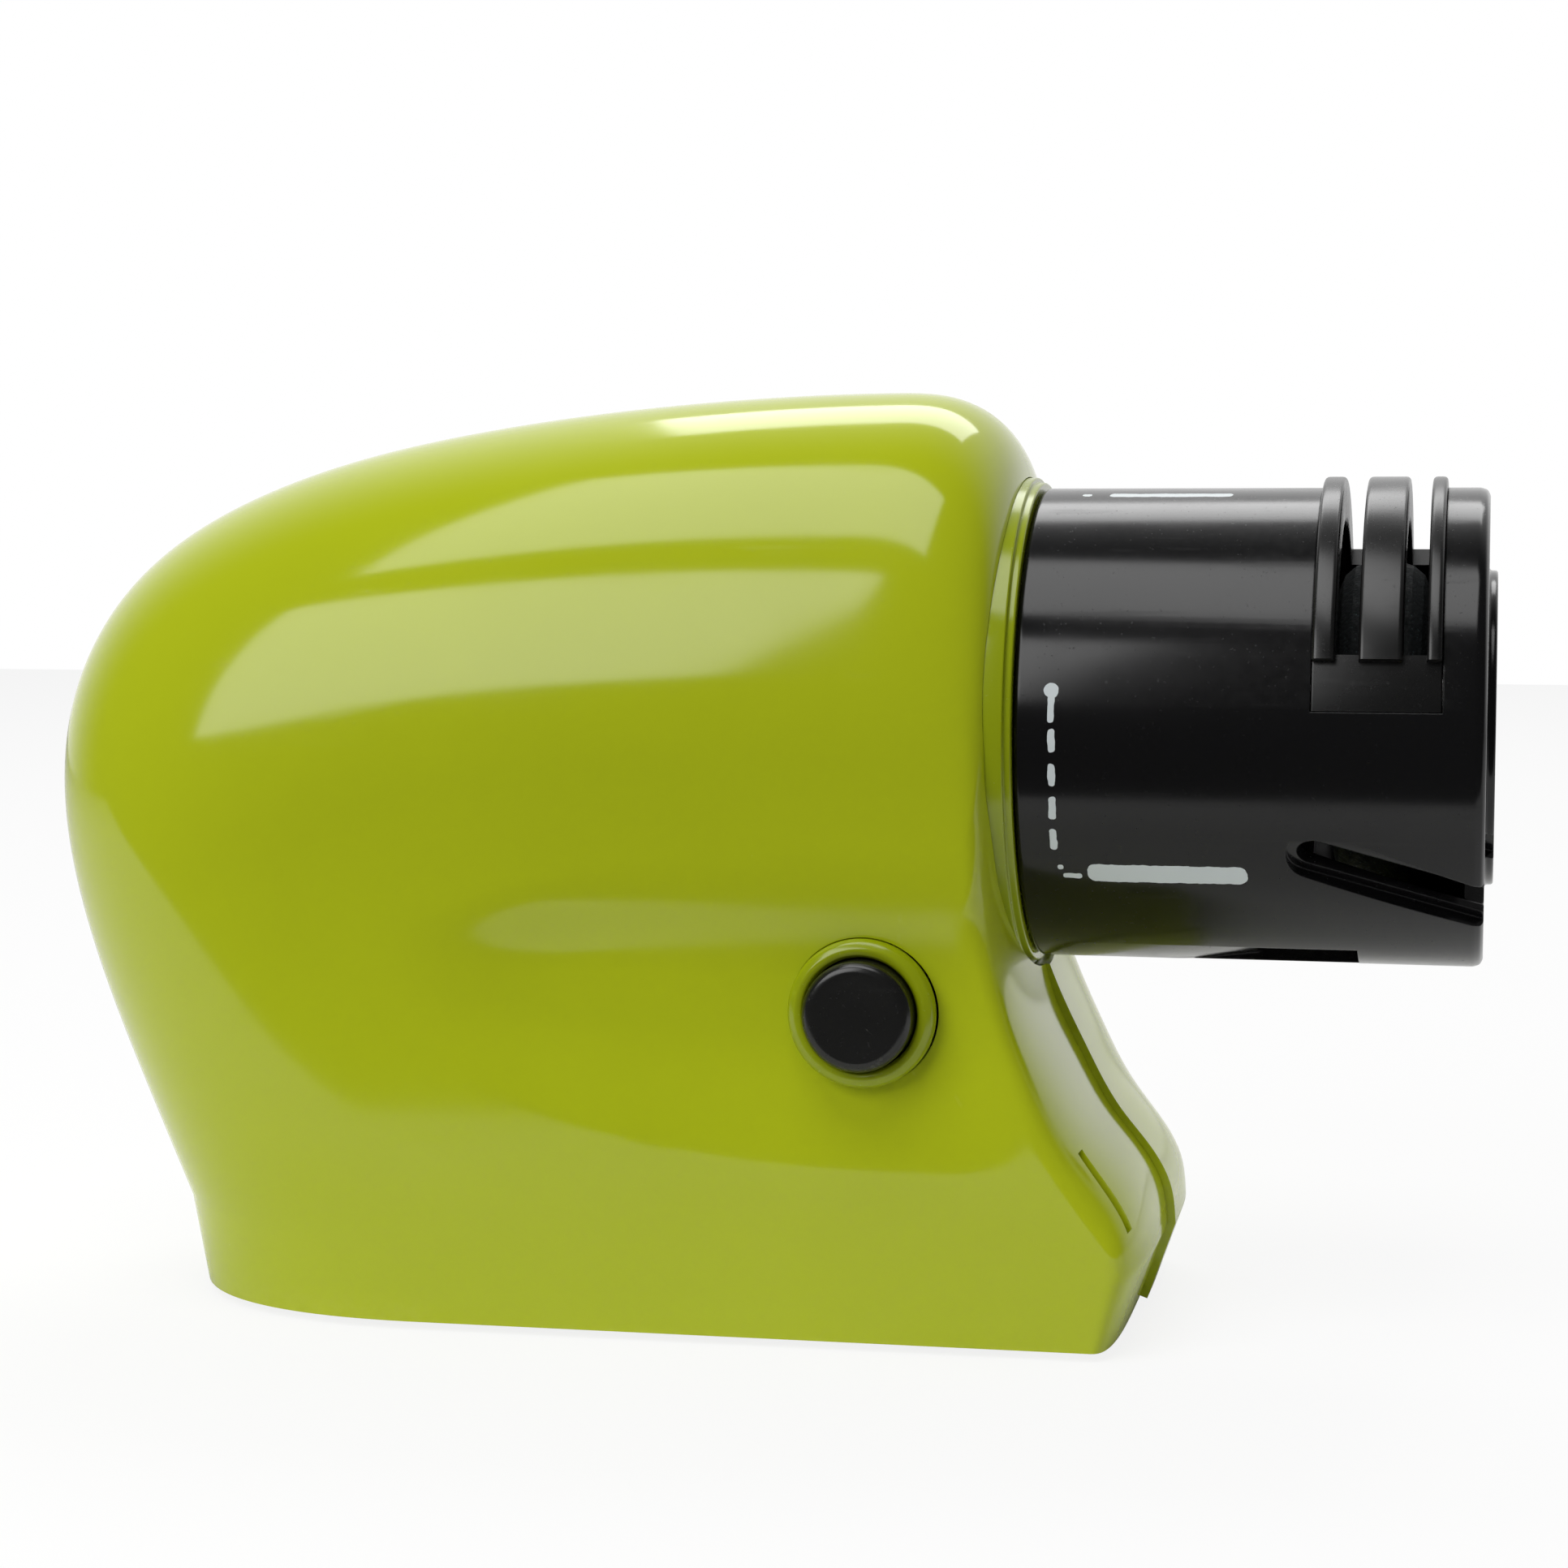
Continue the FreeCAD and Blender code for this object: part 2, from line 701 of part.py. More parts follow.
def cell_places():
    """The middle of each cell's rear end, and whether its raised end points forward."""
    rear, _ = holder_x()
    start = rear + size("holder_wall") + size("contact_thickness")
    places = []
    for column in (-0.5, 0.5):
        for layer in (0, 1):
            forward = (column > 0) == (layer > 0)
            x = start + (size("contact_gap") if forward else size("contact_thickness"))
            y = column * size("cell_spacing")
            z = size("cell_level") + layer * size("cell_spacing")
            places.append((x, y, z, forward))
    return places


def battery_cells():
    """Cylindrical cells, each with a rolled edge at both ends and a raised button end."""
    for index, (x, y, z, forward) in enumerate(cell_places(), 1):
        length, radius = size("cell_length"), size("cell_radius")
        can = rod_shape((0.8, 0, 0), (1, 0, 0), length - 2.4, radius)
        can = can.fuse(rod_shape((0, 0, 0), (1, 0, 0), length - 1.4, radius - 0.8))
        can = can.fuse(rod_shape((length - 1.5, 0, 0), (1, 0, 0), 1.5, 2.7)).removeSplitter()
        if not forward:
            can.rotate(Vector(length / 2, 0, 0), Vector(0, 0, 1), 180)
        can.translate(Vector(x, y, z))
        from_shape(f"battery_{index}", can)


def battery_contacts():
    """Flat plates on both end walls and a coil spring on each flat cell end."""
    rear, front = holder_x()
    wall = size("holder_wall")
    thickness = size("contact_thickness")
    plates = []
    springs = []
    half = size("cell_radius") - 1.5
    for x, y, z, forward in cell_places():
        at_rear = box_shape((rear + wall, rear + wall + thickness), (y - half, y + half),
                            (z - half, z + half))
        at_front = at_rear.copy()
        at_front.translate(Vector(front - rear - 2 * wall - thickness, 0, 0))
        plates += [at_rear, at_front]
        gap = size("gap")
        room = size("contact_gap") - 2 * gap
        spring = coil(3.2, 0.25, room)
        start = rear + wall + thickness + gap if forward else front - wall - thickness - gap - room
        spring.rotate(Vector(), Vector(0, 1, 0), 90)
        spring.translate(Vector(start, y, z))
        springs.append(spring)
    from_shape("battery_contact_plates", Part.makeCompound(plates))
    from_shape("battery_springs", Part.makeCompound(springs))


def coil(radius, wire, height):
    """A close-wound spring along +Z from z = 0, as rings of wire that run into one another."""
    turns = math.ceil((height - 2 * wire) / (1.6 * wire)) + 1
    pitch = (height - 2 * wire) / (turns - 1)
    half = pitch / 2
    waist = math.sqrt(wire ** 2 - half ** 2)
    arcs = []
    for side in (1, -1):
        for turn in range(turns):
            level = wire + turn * pitch
            low = Vector(radius + side * waist, 0, level - half)
            high = Vector(radius + side * waist, 0, level + half)
            if turn == 0:
                low = Vector(radius, 0, 0)
            if turn == turns - 1:
                high = Vector(radius, 0, height)
            arcs.append(Part.Arc(low, Vector(radius + side * wire, 0, level), high).toShape())
    section = Part.Face(Part.Wire(Part.__sortEdges__(arcs)))
    return section.revolve(Vector(), Vector(0, 0, 1), 360)


def foot_shapes():
    height = size("plate_bottom")
    feet = []
    for x, y in foot_places():
        foot = rod_shape((x, y, 0), (0, 0, 1), height, size("foot_radius"))
        feet.append(foot.makeFillet(0.5, [foot.Edges[2]]))
    return feet


# Head: the selector drum, its cap and the knife guide

def about_axis(shape, degrees):
    """Turned about the head's axis from the top towards the near side."""
    shape.rotate(Vector(0, 0, size("axis_height")), Vector(1, 0, 0), degrees)
    return shape


def arc_block(start, length, outer, inner, half_angle):
    """A piece of a tube about the head's axis, centred on the top."""
    base = Vector(start, 0, size("axis_height"))
    direction = Vector(1, 0, 0)
    solid = Part.makeCylinder(outer, length, base, direction, 2 * half_angle)
    hollow = Part.makeCylinder(inner, length + 2, base - direction, direction)
    piece = solid.cut(hollow).Solids[0]
    middle = piece.CenterOfMass - base
    lean = math.degrees(math.atan2(middle.y, middle.z))
    piece.rotate(base, direction, lean)
    return piece


def drum_end():
    return size("drum_start") + size("drum_length")


def scissors_cutter():
    """A slanting slot with a wider mouth at the drum's surface, open at the drum's end."""
    radius = size("drum_radius")
    slot = slanting_slot(size("scissors_width"), radius - size("scissors_depth"))
    mouth = slanting_slot(size("scissors_mouth"), radius - size("scissors_mouth_depth"))
    lean = size("scissors_turn") + size("scissors_slant") * 0.4
    return about_axis(slot.fuse(mouth), lean)


def slanting_slot(width, floor):
    """A cutter with a round inner end, from floor above the head's axis outwards."""
    length = size("scissors_length")
    depth = size("drum_radius") + 6.0 - floor
    slot = box_shape((-length, 12.0), (-width / 2, width / 2), (0, depth))
    slot = slot.fuse(rod_shape((-length, 0, 0), (0, 0, 1), depth, width / 2))
    slot.rotate(Vector(), Vector(0, 0, 1), -size("scissors_slant"))
    slot.translate(Vector(drum_end(), 0, size("axis_height") + floor))
    return slot


def driver_cutter():
    """The screwdriver's mouth in the underside of the drum, with a ramp that leads into it."""
    axis, radius = size("axis_height"), size("drum_radius")
    half = size("driver_width") / 2
    start = size("driver_start")
    low = axis - radius
    mouth = box_shape((start, start + size("driver_length")), (-half, half), (low - 5, low + 8))
    depth = size("driver_ramp_depth")
    points = [
        Vector(start - size("driver_ramp"), -half, low - 1),
        Vector(start - size("driver_ramp"), -half, low),
        Vector(start + 0.5, -half, low + depth),
        Vector(start + 0.5, -half, low - 1),
    ]
    ramp = Part.Face(Part.makePolygon(points + points[:1])).extrude(Vector(0, 2 * half, 0))
    return about_axis(mouth.fuse(ramp), size("driver_turn") - 180)


def drum():
    """The black selector drum: a tube with two inner webs that run on the neck."""
    start, end = size("drum_start"), drum_end()
    radius, wall, web = size("drum_radius"), size("drum_wall"), size("web_thickness")
    axis = size("axis_height")
    edge = size("drum_edge")
    tube = rod_shape((start, 0, axis), (1, 0, 0), end - start, radius)
    rims = [e for e in tube.Edges if len(e.Vertexes) == 1]
    tube = tube.makeFillet(edge, [e for e in rims if e.CenterOfMass.x > start + 1])
    tube = tube.cut(rod_shape((start - 1, 0, axis), (1, 0, 0), end - start + 2, radius - wall))
    bore = size("neck_radius") + size("running_fit")
    for web_start in (start, size("neck_end") - web - size("gap") / 2):
        disc = rod_shape((web_start, 0, axis), (1, 0, 0), web, radius - wall / 2)
        disc = disc.cut(rod_shape((web_start - 1, 0, axis), (1, 0, 0), web + 2, bore))
        tube = tube.fuse(disc)
    tube = tube.removeSplitter()
    window = arc_block(size("guide_start"), size("guide_width"), radius + 5, radius - wall - 2,
                       size("guide_half_angle"))
    cuts = [about_axis(window, size("guide_turn")), scissors_cutter(), driver_cutter(), detent_groove()]
    result = tube.cut(cuts)
    return max(result.Solids, key=lambda solid: solid.Volume)


def detent_groove():
    """A ring groove in the drum's rear web with a deeper hollow at each working position."""
    start, axis = size("drum_start"), size("axis_height")
    middle, ball, gap = size("detent_radius"), size("ball_radius"), size("gap")
    depth = size("groove_depth")
    groove = rod_shape((start - 1, 0, axis), (1, 0, 0), depth + 1, middle + ball + gap)
    groove = groove.cut(rod_shape((start - 2, 0, axis), (1, 0, 0), depth + 4, middle - ball - gap))
    hollows = []
    for degrees in (0, size("scissors_turn"), size("driver_turn")):
        hollow = rod_shape((start - 1, 0, axis + middle), (1, 0, 0), 1.5 * depth + 1, ball + gap)
        hollows.append(about_axis(hollow, degrees))
    return groove.fuse(hollows)


def drum_cap():
    """The disc that closes the drum, with a raised round face and the scissors slot through it."""
    end, axis = drum_end(), size("axis_height")
    thickness = size("cap_thickness")
    radius = size("drum_radius") - size("drum_wall") - 0.03
    disc = rod_shape((end - thickness, 0, axis), (1, 0, 0), thickness, radius)
    raised = rod_shape((end - 1, 0, axis), (1, 0, 0), 1 + size("cap_disc_proud"), size("cap_disc_radius"))
    rims = [e for e in raised.Edges if len(e.Vertexes) == 1 and e.CenterOfMass.x > end]
    raised = raised.makeFillet(0.6, rims)
    cap = disc.fuse(raised).removeSplitter()
    return cap.cut(scissors_cutter())


def knife_guide():
    """A saddle in the drum's window with three ribs and the two blade slots between them."""
    start, width = size("guide_start") + size("gap") / 2, size("guide_width") - size("gap")
    radius, wall = size("drum_radius"), size("drum_wall")
    gap_angle = math.degrees(size("gap") / radius)
    saddle = arc_block(start, width, radius, radius - wall, size("guide_half_angle") - gap_angle / 2)
    slots = slot_places()
    ends = [start] + [x for low, high in slots for x in (low, high)] + [start + width]
    ribs = []
    for low, high in zip(ends[::2], ends[1::2]):
        rib = arc_block(low, high - low, radius + size("rib_proud"), radius - wall - 1.2,
                        size("rib_half_angle"))
        ribs.append(rib)
    guide = saddle.fuse(ribs).removeSplitter()
    floor = size("axis_height") + size("slot_floor")
    for low, high in slots:
        guide = guide.cut(box_shape((low, high), (-60, 60), (floor, floor + 60)))
    return about_axis(guide, size("guide_turn"))


def slot_places():
    first = size("guide_start") + size("rear_rib_width")
    second = first + size("slot_width") + size("middle_rib_width")
    return [(first, first + size("slot_width")), (second, second + size("slot_width"))]


# Insulated wires

def wire_run(points, radius):
    """A tube along straight runs joined by arcs that are as large as the runs allow."""
    points = [Vector(*point) for point in points]
    edges = []
    last = points[0]
    for before, corner, after in zip(points, points[1:], points[2:]):
        back, ahead = before - corner, after - corner
        run = min(back.Length, ahead.Length)
        back, ahead = back.normalize(), ahead.normalize()
        half_turn = (math.pi - back.getAngle(ahead)) / 2
        tangent = 0.45 * run
        bend = tangent / math.tan(half_turn)
        entry, leaving = corner + back * tangent, corner + ahead * tangent
        inward = (back + ahead).normalize()
        middle = corner + inward * (math.hypot(bend, tangent) - bend)
        edges.append(Part.LineSegment(last, entry).toShape())
        edges.append(Part.Arc(entry, middle, leaving).toShape())
        last = leaving
    edges.append(Part.LineSegment(last, points[-1]).toShape())
    path = Part.Wire(edges)
    section = Part.Wire(Part.makeCircle(radius, points[0], points[1] - points[0]))
    return path.makePipeShell([section], True, False)


# The pieces, one after another

from_shape("shell_near", shell(-1))
from_shape("shell_far", shell(1))
from_shape("base_plate", base_plate())
from_shape("battery_door", battery_door())
from_shape("battery_holder", battery_holder())
battery_cells()
battery_contacts()
from_shape("rubber_feet", Part.makeCompound(foot_shapes()))

pin_reach = "( hinge_half_length + lug_length )"
pin_place = ("hinge_x", "0", "plate_bottom + hinge_radius - 0.4")
keep(ring("door_hinge_pin", f"0 - {pin_reach}", f"2 * {pin_reach}", "hinge_pin_radius", "0",
          place=pin_place, facing="+Y"), "door_hinge_pin")

from_shape("selector_drum", drum())
from_shape("drum_cap", drum_cap())
from_shape("knife_guide", knife_guide())

collar_rear = "( neck_start + neck_flange_thickness )"
collar = turned("collar_ring", [
    (collar_rear, "collar_bore"),
    ("collar_front", "collar_bore"),
    ("collar_front", "collar_step_radius"),
    ("collar_front - collar_step", "collar_step_radius"),
    ("collar_front - collar_step", "collar_radius"),
    (collar_rear, "collar_radius"),
])
keep(collar, "collar_ring")


def retainer_place(degrees):
    """Y and Z of a retainer screw, in the middle of the neck's wall."""
    radius = "( neck_radius + neck_bore ) / 2"
    return f"{radius} * cos( {degrees} deg )", f"axis_height + {radius} * sin( {degrees} deg )"


def neck():
    """The fixed neck that the drum turns on: a flange, a tube and two bush seats."""
    flange_end = "neck_start + neck_flange_thickness"
    hub_end = "neck_start + bush_length"
    bush_seat = "bush_radius"
    body = turned("neck_body", [
        ("neck_start", bush_seat),
        (hub_end, bush_seat),
        (hub_end, "bush_radius + 2"),
        (flange_end, "bush_radius + 2"),
        (flange_end, "neck_bore"),
        ("neck_end - neck_end_wall", "neck_bore"),
        ("neck_end - neck_end_wall", "bush_radius + 2"),
        ("neck_end - bush_length", "bush_radius + 2"),
        ("neck_end - bush_length", bush_seat),
        ("neck_end", bush_seat),
        ("neck_end", "neck_radius"),
        (flange_end, "neck_radius"),
        (flange_end, "neck_flange_radius"),
        ("neck_start", "neck_flange_radius"),
    ])
    boss = rod("detent_boss", (flange_end, "0", "axis_height + detent_radius"), "detent_boss_radius",
               "drum_start - neck_start - neck_flange_thickness - 0.5")
    bored = rod("detent_bore", (flange_end + " - 1", "0", "axis_height + detent_radius"),
                "ball_radius + 0.1", "drum_start - neck_start")
    pilots = []
    for index, degrees in enumerate(RETAINER_SCREW_ANGLES):
        place = ("neck_end - 6", *retainer_place(degrees))
        pilots.append(rod(f"neck_pilot_{index}", place, "screw_radius * 0.6", "8"))
    return cut("neck_tube", join("neck_with_boss", body, boss), bored, *pilots)


keep(neck(), "neck_tube")

retainer = ring("retainer_ring", "neck_end + 0", "retainer_thickness", "retainer_radius", "bush_radius + 3")
retainer_bores = []
retainer_screws = []
screw_end = "( neck_end + retainer_thickness )"
for position, degrees in enumerate(RETAINER_SCREW_ANGLES):
    y_place, z_place = retainer_place(degrees)
    retainer_bores.append(rod(f"retainer_bore_{position}", ("neck_end - 1", y_place, z_place),
                              "screw_radius * 0.6", "retainer_thickness + 2"))
    retainer_screws.append(turned(f"retainer_screw_{position}", [
        ("neck_end - 5.5", "0"),
        (f"{screw_end} + 1.2", "0"),
        (f"{screw_end} + 1.2", "screw_radius * 1.1"),
        (screw_end, "screw_radius * 1.1"),
        (screw_end, "screw_radius * 0.6"),
        ("neck_end - 5.5", "screw_radius * 0.6"),
    ], place=("0", y_place, z_place)))
keep(cut("drum_retainer", retainer, *retainer_bores), "drum_retainer")
keep(group("retainer_screws", retainer_screws), "retainer_screws")

ball = doc.addObject("Part::Sphere", "detent_ball_form")
ball.setExpression("Radius", named("ball_radius"))
ball.setExpression("Placement.Base.x", named("drum_start - ball_set_back"))
ball.setExpression("Placement.Base.z", named("axis_height + detent_radius"))
keep(ball, "detent_ball")
coil_start = number(named("neck_start + neck_flange_thickness - 0.95"))
coil_end = number(named("drum_start - ball_set_back - ball_radius"))
detent_coil = coil(1.1, 0.2, coil_end - coil_start)
detent_coil.rotate(Vector(), Vector(0, 1, 0), 90)
detent_coil.translate(Vector(coil_start, 0, size("axis_height") + size("detent_radius")))
from_shape("detent_spring", detent_coil)

# Spindle, stone and their fastenings

wheel_rear = "( wheel_middle - wheel_width / 2 )"
wheel_front = "( wheel_middle + wheel_width / 2 )"
spindle_end = f"( {wheel_front} + washer_thickness + nut_thickness + 0.4 )"
spindle_rear_bush = "( neck_start + bush_length )"
keep(turned("spindle", [
    ("spindle_start", "0"),
    (spindle_end, "0"),
    (spindle_end, "spindle_radius - 0.4"),
    (f"{spindle_end} - 0.4", "spindle_radius"),
    (f"{wheel_rear} - washer_thickness", "spindle_radius"),
    (f"{wheel_rear} - washer_thickness", "spindle_radius + 1.4"),
    (f"{wheel_rear} - washer_thickness - 1", "spindle_radius + 1.4"),
    (f"{wheel_rear} - washer_thickness - 1", "spindle_radius"),
    ("spindle_start", "spindle_radius"),
]), "spindle")
keep(turned("grinding_wheel", [
    (wheel_rear, "spindle_radius + running_fit"),
    (wheel_front, "spindle_radius + running_fit"),
    (wheel_front, "wheel_radius - wheel_crown"),
    (f"{wheel_front} - wheel_crown * 0.2", "wheel_radius - wheel_crown * 0.5"),
    (f"{wheel_front} - wheel_crown * 0.6", "wheel_radius - wheel_crown * 0.16"),
    (f"{wheel_front} - wheel_crown * 1.1", "wheel_radius"),
    (f"{wheel_rear} + wheel_crown * 1.1", "wheel_radius"),
    (f"{wheel_rear} + wheel_crown * 0.6", "wheel_radius - wheel_crown * 0.16"),
    (f"{wheel_rear} + wheel_crown * 0.2", "wheel_radius - wheel_crown * 0.5"),
    (wheel_rear, "wheel_radius - wheel_crown"),
]), "grinding_wheel")
washers = [
    ring("washer_rear", f"{wheel_rear} - washer_thickness", "washer_thickness", "washer_radius",
         "spindle_radius + running_fit"),
    ring("washer_front", wheel_front, "washer_thickness", "washer_radius", "spindle_radius + running_fit"),
]
keep(group("wheel_washers", washers), "wheel_washers")
nut_form = doc.addObject("Part::Prism", "nut_form")
nut_form.Polygon = 6
nut_form.Placement = Placement(Vector(), Rotation(Vector(0, 1, 0), 90))
nut_form.setExpression("Circumradius", named("nut_radius"))
nut_form.setExpression("Height", named("nut_thickness"))
nut_form.setExpression("Placement.Base.x", named(f"{wheel_front} + washer_thickness"))
nut_form.setExpression("Placement.Base.z", named("axis_height"))
nut_bore = rod("nut_bore", (wheel_front, "0", "axis_height"), "spindle_radius + 0.03", "10")
keep(cut("wheel_nut", nut_form, nut_bore), "wheel_nut")

bush_bore = "spindle_radius + running_fit"
keep(turned("bush_rear", [
    ("neck_start - bush_flange", bush_bore),
    (spindle_rear_bush, bush_bore),
    (spindle_rear_bush, "bush_radius"),
    ("neck_start", "bush_radius"),
    ("neck_start", "bush_radius + 1.5"),
    ("neck_start - bush_flange", "bush_radius + 1.5"),
]), "bush_rear")
keep(turned("bush_front", [
    ("neck_end - bush_length", bush_bore),
    ("neck_end + bush_flange", bush_bore),
    ("neck_end + bush_flange", "bush_radius + 1.5"),
    ("neck_end", "bush_radius + 1.5"),
    ("neck_end", "bush_radius"),
    ("neck_end - bush_length", "bush_radius"),
]), "bush_front")

motor_front = "( motor_start + motor_length )"
motor_nose_end = f"( {motor_front} + motor_nose )"
shaft_end = "( spindle_start - 0.2 )"
keep(turned("shaft_coupling", [
    ("coupling_start", "shaft_radius + 0.02"),
    (shaft_end, "shaft_radius + 0.02"),
    (shaft_end, "spindle_radius + 0.02"),
    ("coupling_start + coupling_length", "spindle_radius + 0.02"),
    ("coupling_start + coupling_length", "coupling_radius"),
    ("coupling_start", "coupling_radius"),
]), "shaft_coupling")

# Motor

keep(turned("motor_can", [
    ("motor_start", "motor_radius - can_wall"),
    (f"{motor_front} - can_wall", "motor_radius - can_wall"),
    (f"{motor_front} - can_wall", "shaft_radius + running_fit"),
    (motor_nose_end, "shaft_radius + running_fit"),
    (motor_nose_end, "motor_nose_radius"),
    (motor_front, "motor_nose_radius"),
    (motor_front, "motor_radius"),
    ("motor_start", "motor_radius"),
]), "motor_can")
keep(turned("motor_end_cap", [
    ("motor_start - end_cap_length", "0"),
    ("motor_start - end_cap_length + 1", "0"),
    ("motor_start - end_cap_length + 1", "shaft_radius + running_fit"),
    ("motor_start + 1.5", "shaft_radius + running_fit"),
    ("motor_start + 1.5", "motor_radius - can_wall - 0.02"),
    ("motor_start", "motor_radius - can_wall - 0.02"),
    ("motor_start", "motor_radius"),
    ("motor_start - end_cap_length", "motor_radius - 1"),
]), "motor_end_cap")
rotor_start = "( motor_start + 17 )"
shaft_start = "( motor_start - end_cap_length + 1.2 )"
keep(ring("motor_shaft", shaft_start, f"{shaft_end} - {shaft_start}", "shaft_radius", "0"), "motor_shaft")


def rotor_core():
    """Stacked iron with five winding slots."""
    start, length, radius = number(named(rotor_start)), size("rotor_length"), size("rotor_radius")
    axis = size("axis_height")
    core = rod_shape((start, 0, axis), (1, 0, 0), length, radius)
    slots = [rod_shape((start - 1, 0, axis), (1, 0, 0), length + 2, size("shaft_radius") + 0.02)]
    for position in range(5):
        mouth = box_shape((start - 1, start + length + 1), (-1, 1), (axis + radius - 3, axis + radius + 1))
        pocket = rod_shape((start - 1, 0, axis + radius - 4.5), (1, 0, 0), length + 2, 2.6)
        slots.append(about_axis(mouth.fuse(pocket), position * 72))
    return core.cut(slots)


from_shape("motor_rotor", rotor_core())
winding_bore = "shaft_radius + 0.1"
windings = [
    ring("winding_rear", f"{rotor_start} - winding_length", "winding_length", "winding_radius", winding_bore),
    ring("winding_front", f"{rotor_start} + rotor_length", "winding_length", "winding_radius", winding_bore),
]
keep(group("motor_windings", windings), "motor_windings")
commutator_start = "( motor_start + 6 )"
keep(ring("motor_commutator", commutator_start, "commutator_length", "commutator_radius",
          "shaft_radius + 0.02"), "motor_commutator")


def motor_magnets():
    """Two arc magnets against the can's inner wall."""
    outer = size("motor_radius") - size("can_wall") - 0.02
    start = number(named(rotor_start)) - 1
    arc = arc_block(start, size("rotor_length") + 2, outer, outer - size("magnet_thickness"), 60)
    return Part.makeCompound([about_axis(arc.copy(), degrees) for degrees in (90, 270)])


def motor_brushes():
    """Two brushes that reach from the end cap's rim to the commutator."""
    start = number(named(commutator_start)) + 1
    axis = size("axis_height")
    inner = size("commutator_radius") + size("gap") / 2
    outer = size("motor_radius") - size("can_wall") - size("gap") / 2
    brush = box_shape((start, start + 3), (-1.5, 1.5), (axis + inner, axis + outer))
    return Part.makeCompound([about_axis(brush.copy(), degrees) for degrees in (0, 180)])


from_shape("motor_magnets", motor_magnets())
from_shape("motor_brushes", motor_brushes())

# Button, its bezel and the switch behind it. These are turned about an axis that faces the near side.

button_place = ("button_x", "0", "button_z")
bezel_bore = "button_radius + 0.15"
bezel_front = "bezel_seat + bezel_proud"
bezel_rear = "( bezel_seat - bezel_length )"
keep(turned("button_bezel", [
    (bezel_rear, bezel_bore),
    (f"{bezel_front} - 0.7", bezel_bore),
    (f"{bezel_front} - 0.1", "button_radius + 0.5"),
    (bezel_front, "button_radius + 0.9"),
    (bezel_front, "bezel_radius - 1"),
    (f"{bezel_front} - 0.4", "bezel_radius - 0.3"),
    (f"{bezel_front} - 1", "bezel_radius"),
    ("bezel_seat", "bezel_radius"),
    ("bezel_seat", "bezel_spigot"),
    (bezel_rear, "bezel_spigot"),
], place=button_place, facing="-Y"), "button_bezel")
cap_front = "( bezel_seat + bezel_proud + button_proud )"
cap_rear = f"( {bezel_rear} - 1.5 )"
keep(turned("button_cap", [
    (cap_rear, "0"),
    (f"{cap_front} - 0.25", "0"),
    (f"{cap_front} - 0.1", "button_radius - 2.5"),
    (cap_front, "button_radius - 1.1"),
    (f"{cap_front} - 0.2", "button_radius - 0.5"),
    (f"{cap_front} - 0.8", "button_radius"),
    (f"{bezel_rear} - 0.2", "button_radius"),
    (f"{bezel_rear} - 0.2", "button_radius + 0.9"),
    (cap_rear, "button_radius + 0.9"),
], place=button_place, facing="-Y"), "button_cap")
plunger_rear = "( switch_front - 4.5 )"
keep(ring("switch_plunger", plunger_rear, f"{cap_rear} - {plunger_rear}", "plunger_radius", "0",
          place=button_place, facing="-Y"), "switch_plunger")
switch_box = block(
    "switch_box",
    ("button_x - switch_half_width", "button_x + switch_half_width"),
    ("0 - switch_front", "switch_depth - switch_front"),
    ("button_z - switch_half_height", "button_z + switch_half_height"),
)
switch_bore_start = ("button_x", "0 - switch_front - 1", "button_z")
switch_bore = rod("switch_bore", switch_bore_start, "plunger_radius + running_fit", "9", facing="+Y")
keep(cut("push_switch", switch_box, switch_bore), "push_switch")
terminals = []
for position, offset in enumerate(("0 - 3.4", "2.6")):
    terminals.append(block(
        f"terminal_{position}",
        (f"button_x + {offset}", f"button_x + {offset} + 0.8"),
        ("switch_depth - switch_front", "switch_depth - switch_front + 4"),
        ("button_z - 1.5", "button_z + 1.5"),
    ))
keep(group("switch_terminals", terminals), "switch_terminals")
coil_room = number(named(f"{cap_rear} - button_travel - switch_front - gap"))
button_coil = coil(size("spring_radius"), size("spring_wire") / 2, coil_room)
button_coil.rotate(Vector(), Vector(1, 0, 0), 90)
button_coil.translate(Vector(size("button_x"), -size("switch_front"), size("button_z")))
from_shape("button_spring", button_coil)

# Screws

def screw_outline(tip, seat):
    """A pan-head screw from its tip to its head, which rests at seat."""
    return [
        (tip, "0"),
        (f"{seat} + screw_head_height", "0"),
        (f"{seat} + screw_head_height", "screw_head_radius - 0.8"),
        (f"{seat} + screw_head_height * 0.5", "screw_head_radius"),
        (seat, "screw_head_radius"),
        (seat, "screw_radius"),
        (f"{tip} + 1", "screw_radius"),
    ]


def flat_screw_outline():
    """A flat-head screw from its head's face to its tip."""
    return [
        ("0", "0"),
        ("plate_screw_length - 1", "0"),
        ("plate_screw_length - 1", "screw_radius"),
        ("plate_screw_sink", "screw_radius"),
        ("0", "screw_head_radius"),
    ]


shell_screws = []
for position, (x, z) in enumerate(shell_screw_places()):
    outline = screw_outline("0 - screw_depth", "well_floor")
    place = (str(x), "0", str(z))
    shell_screws.append(turned(f"shell_screw_{position}", outline, place=place, facing="+Y"))
keep(group("shell_screws", shell_screws), "shell_screws")
plate_screws = []
for position, (x, y) in enumerate(plate_screw_places()):
    place = (str(x), str(y), "plate_bottom")
    plate_screws.append(turned(f"plate_screw_{position}", flat_screw_outline(), place=place, facing="+Z"))
keep(group("plate_screws", plate_screws), "plate_screws")

# Wires between the batteries, the switch and the motor

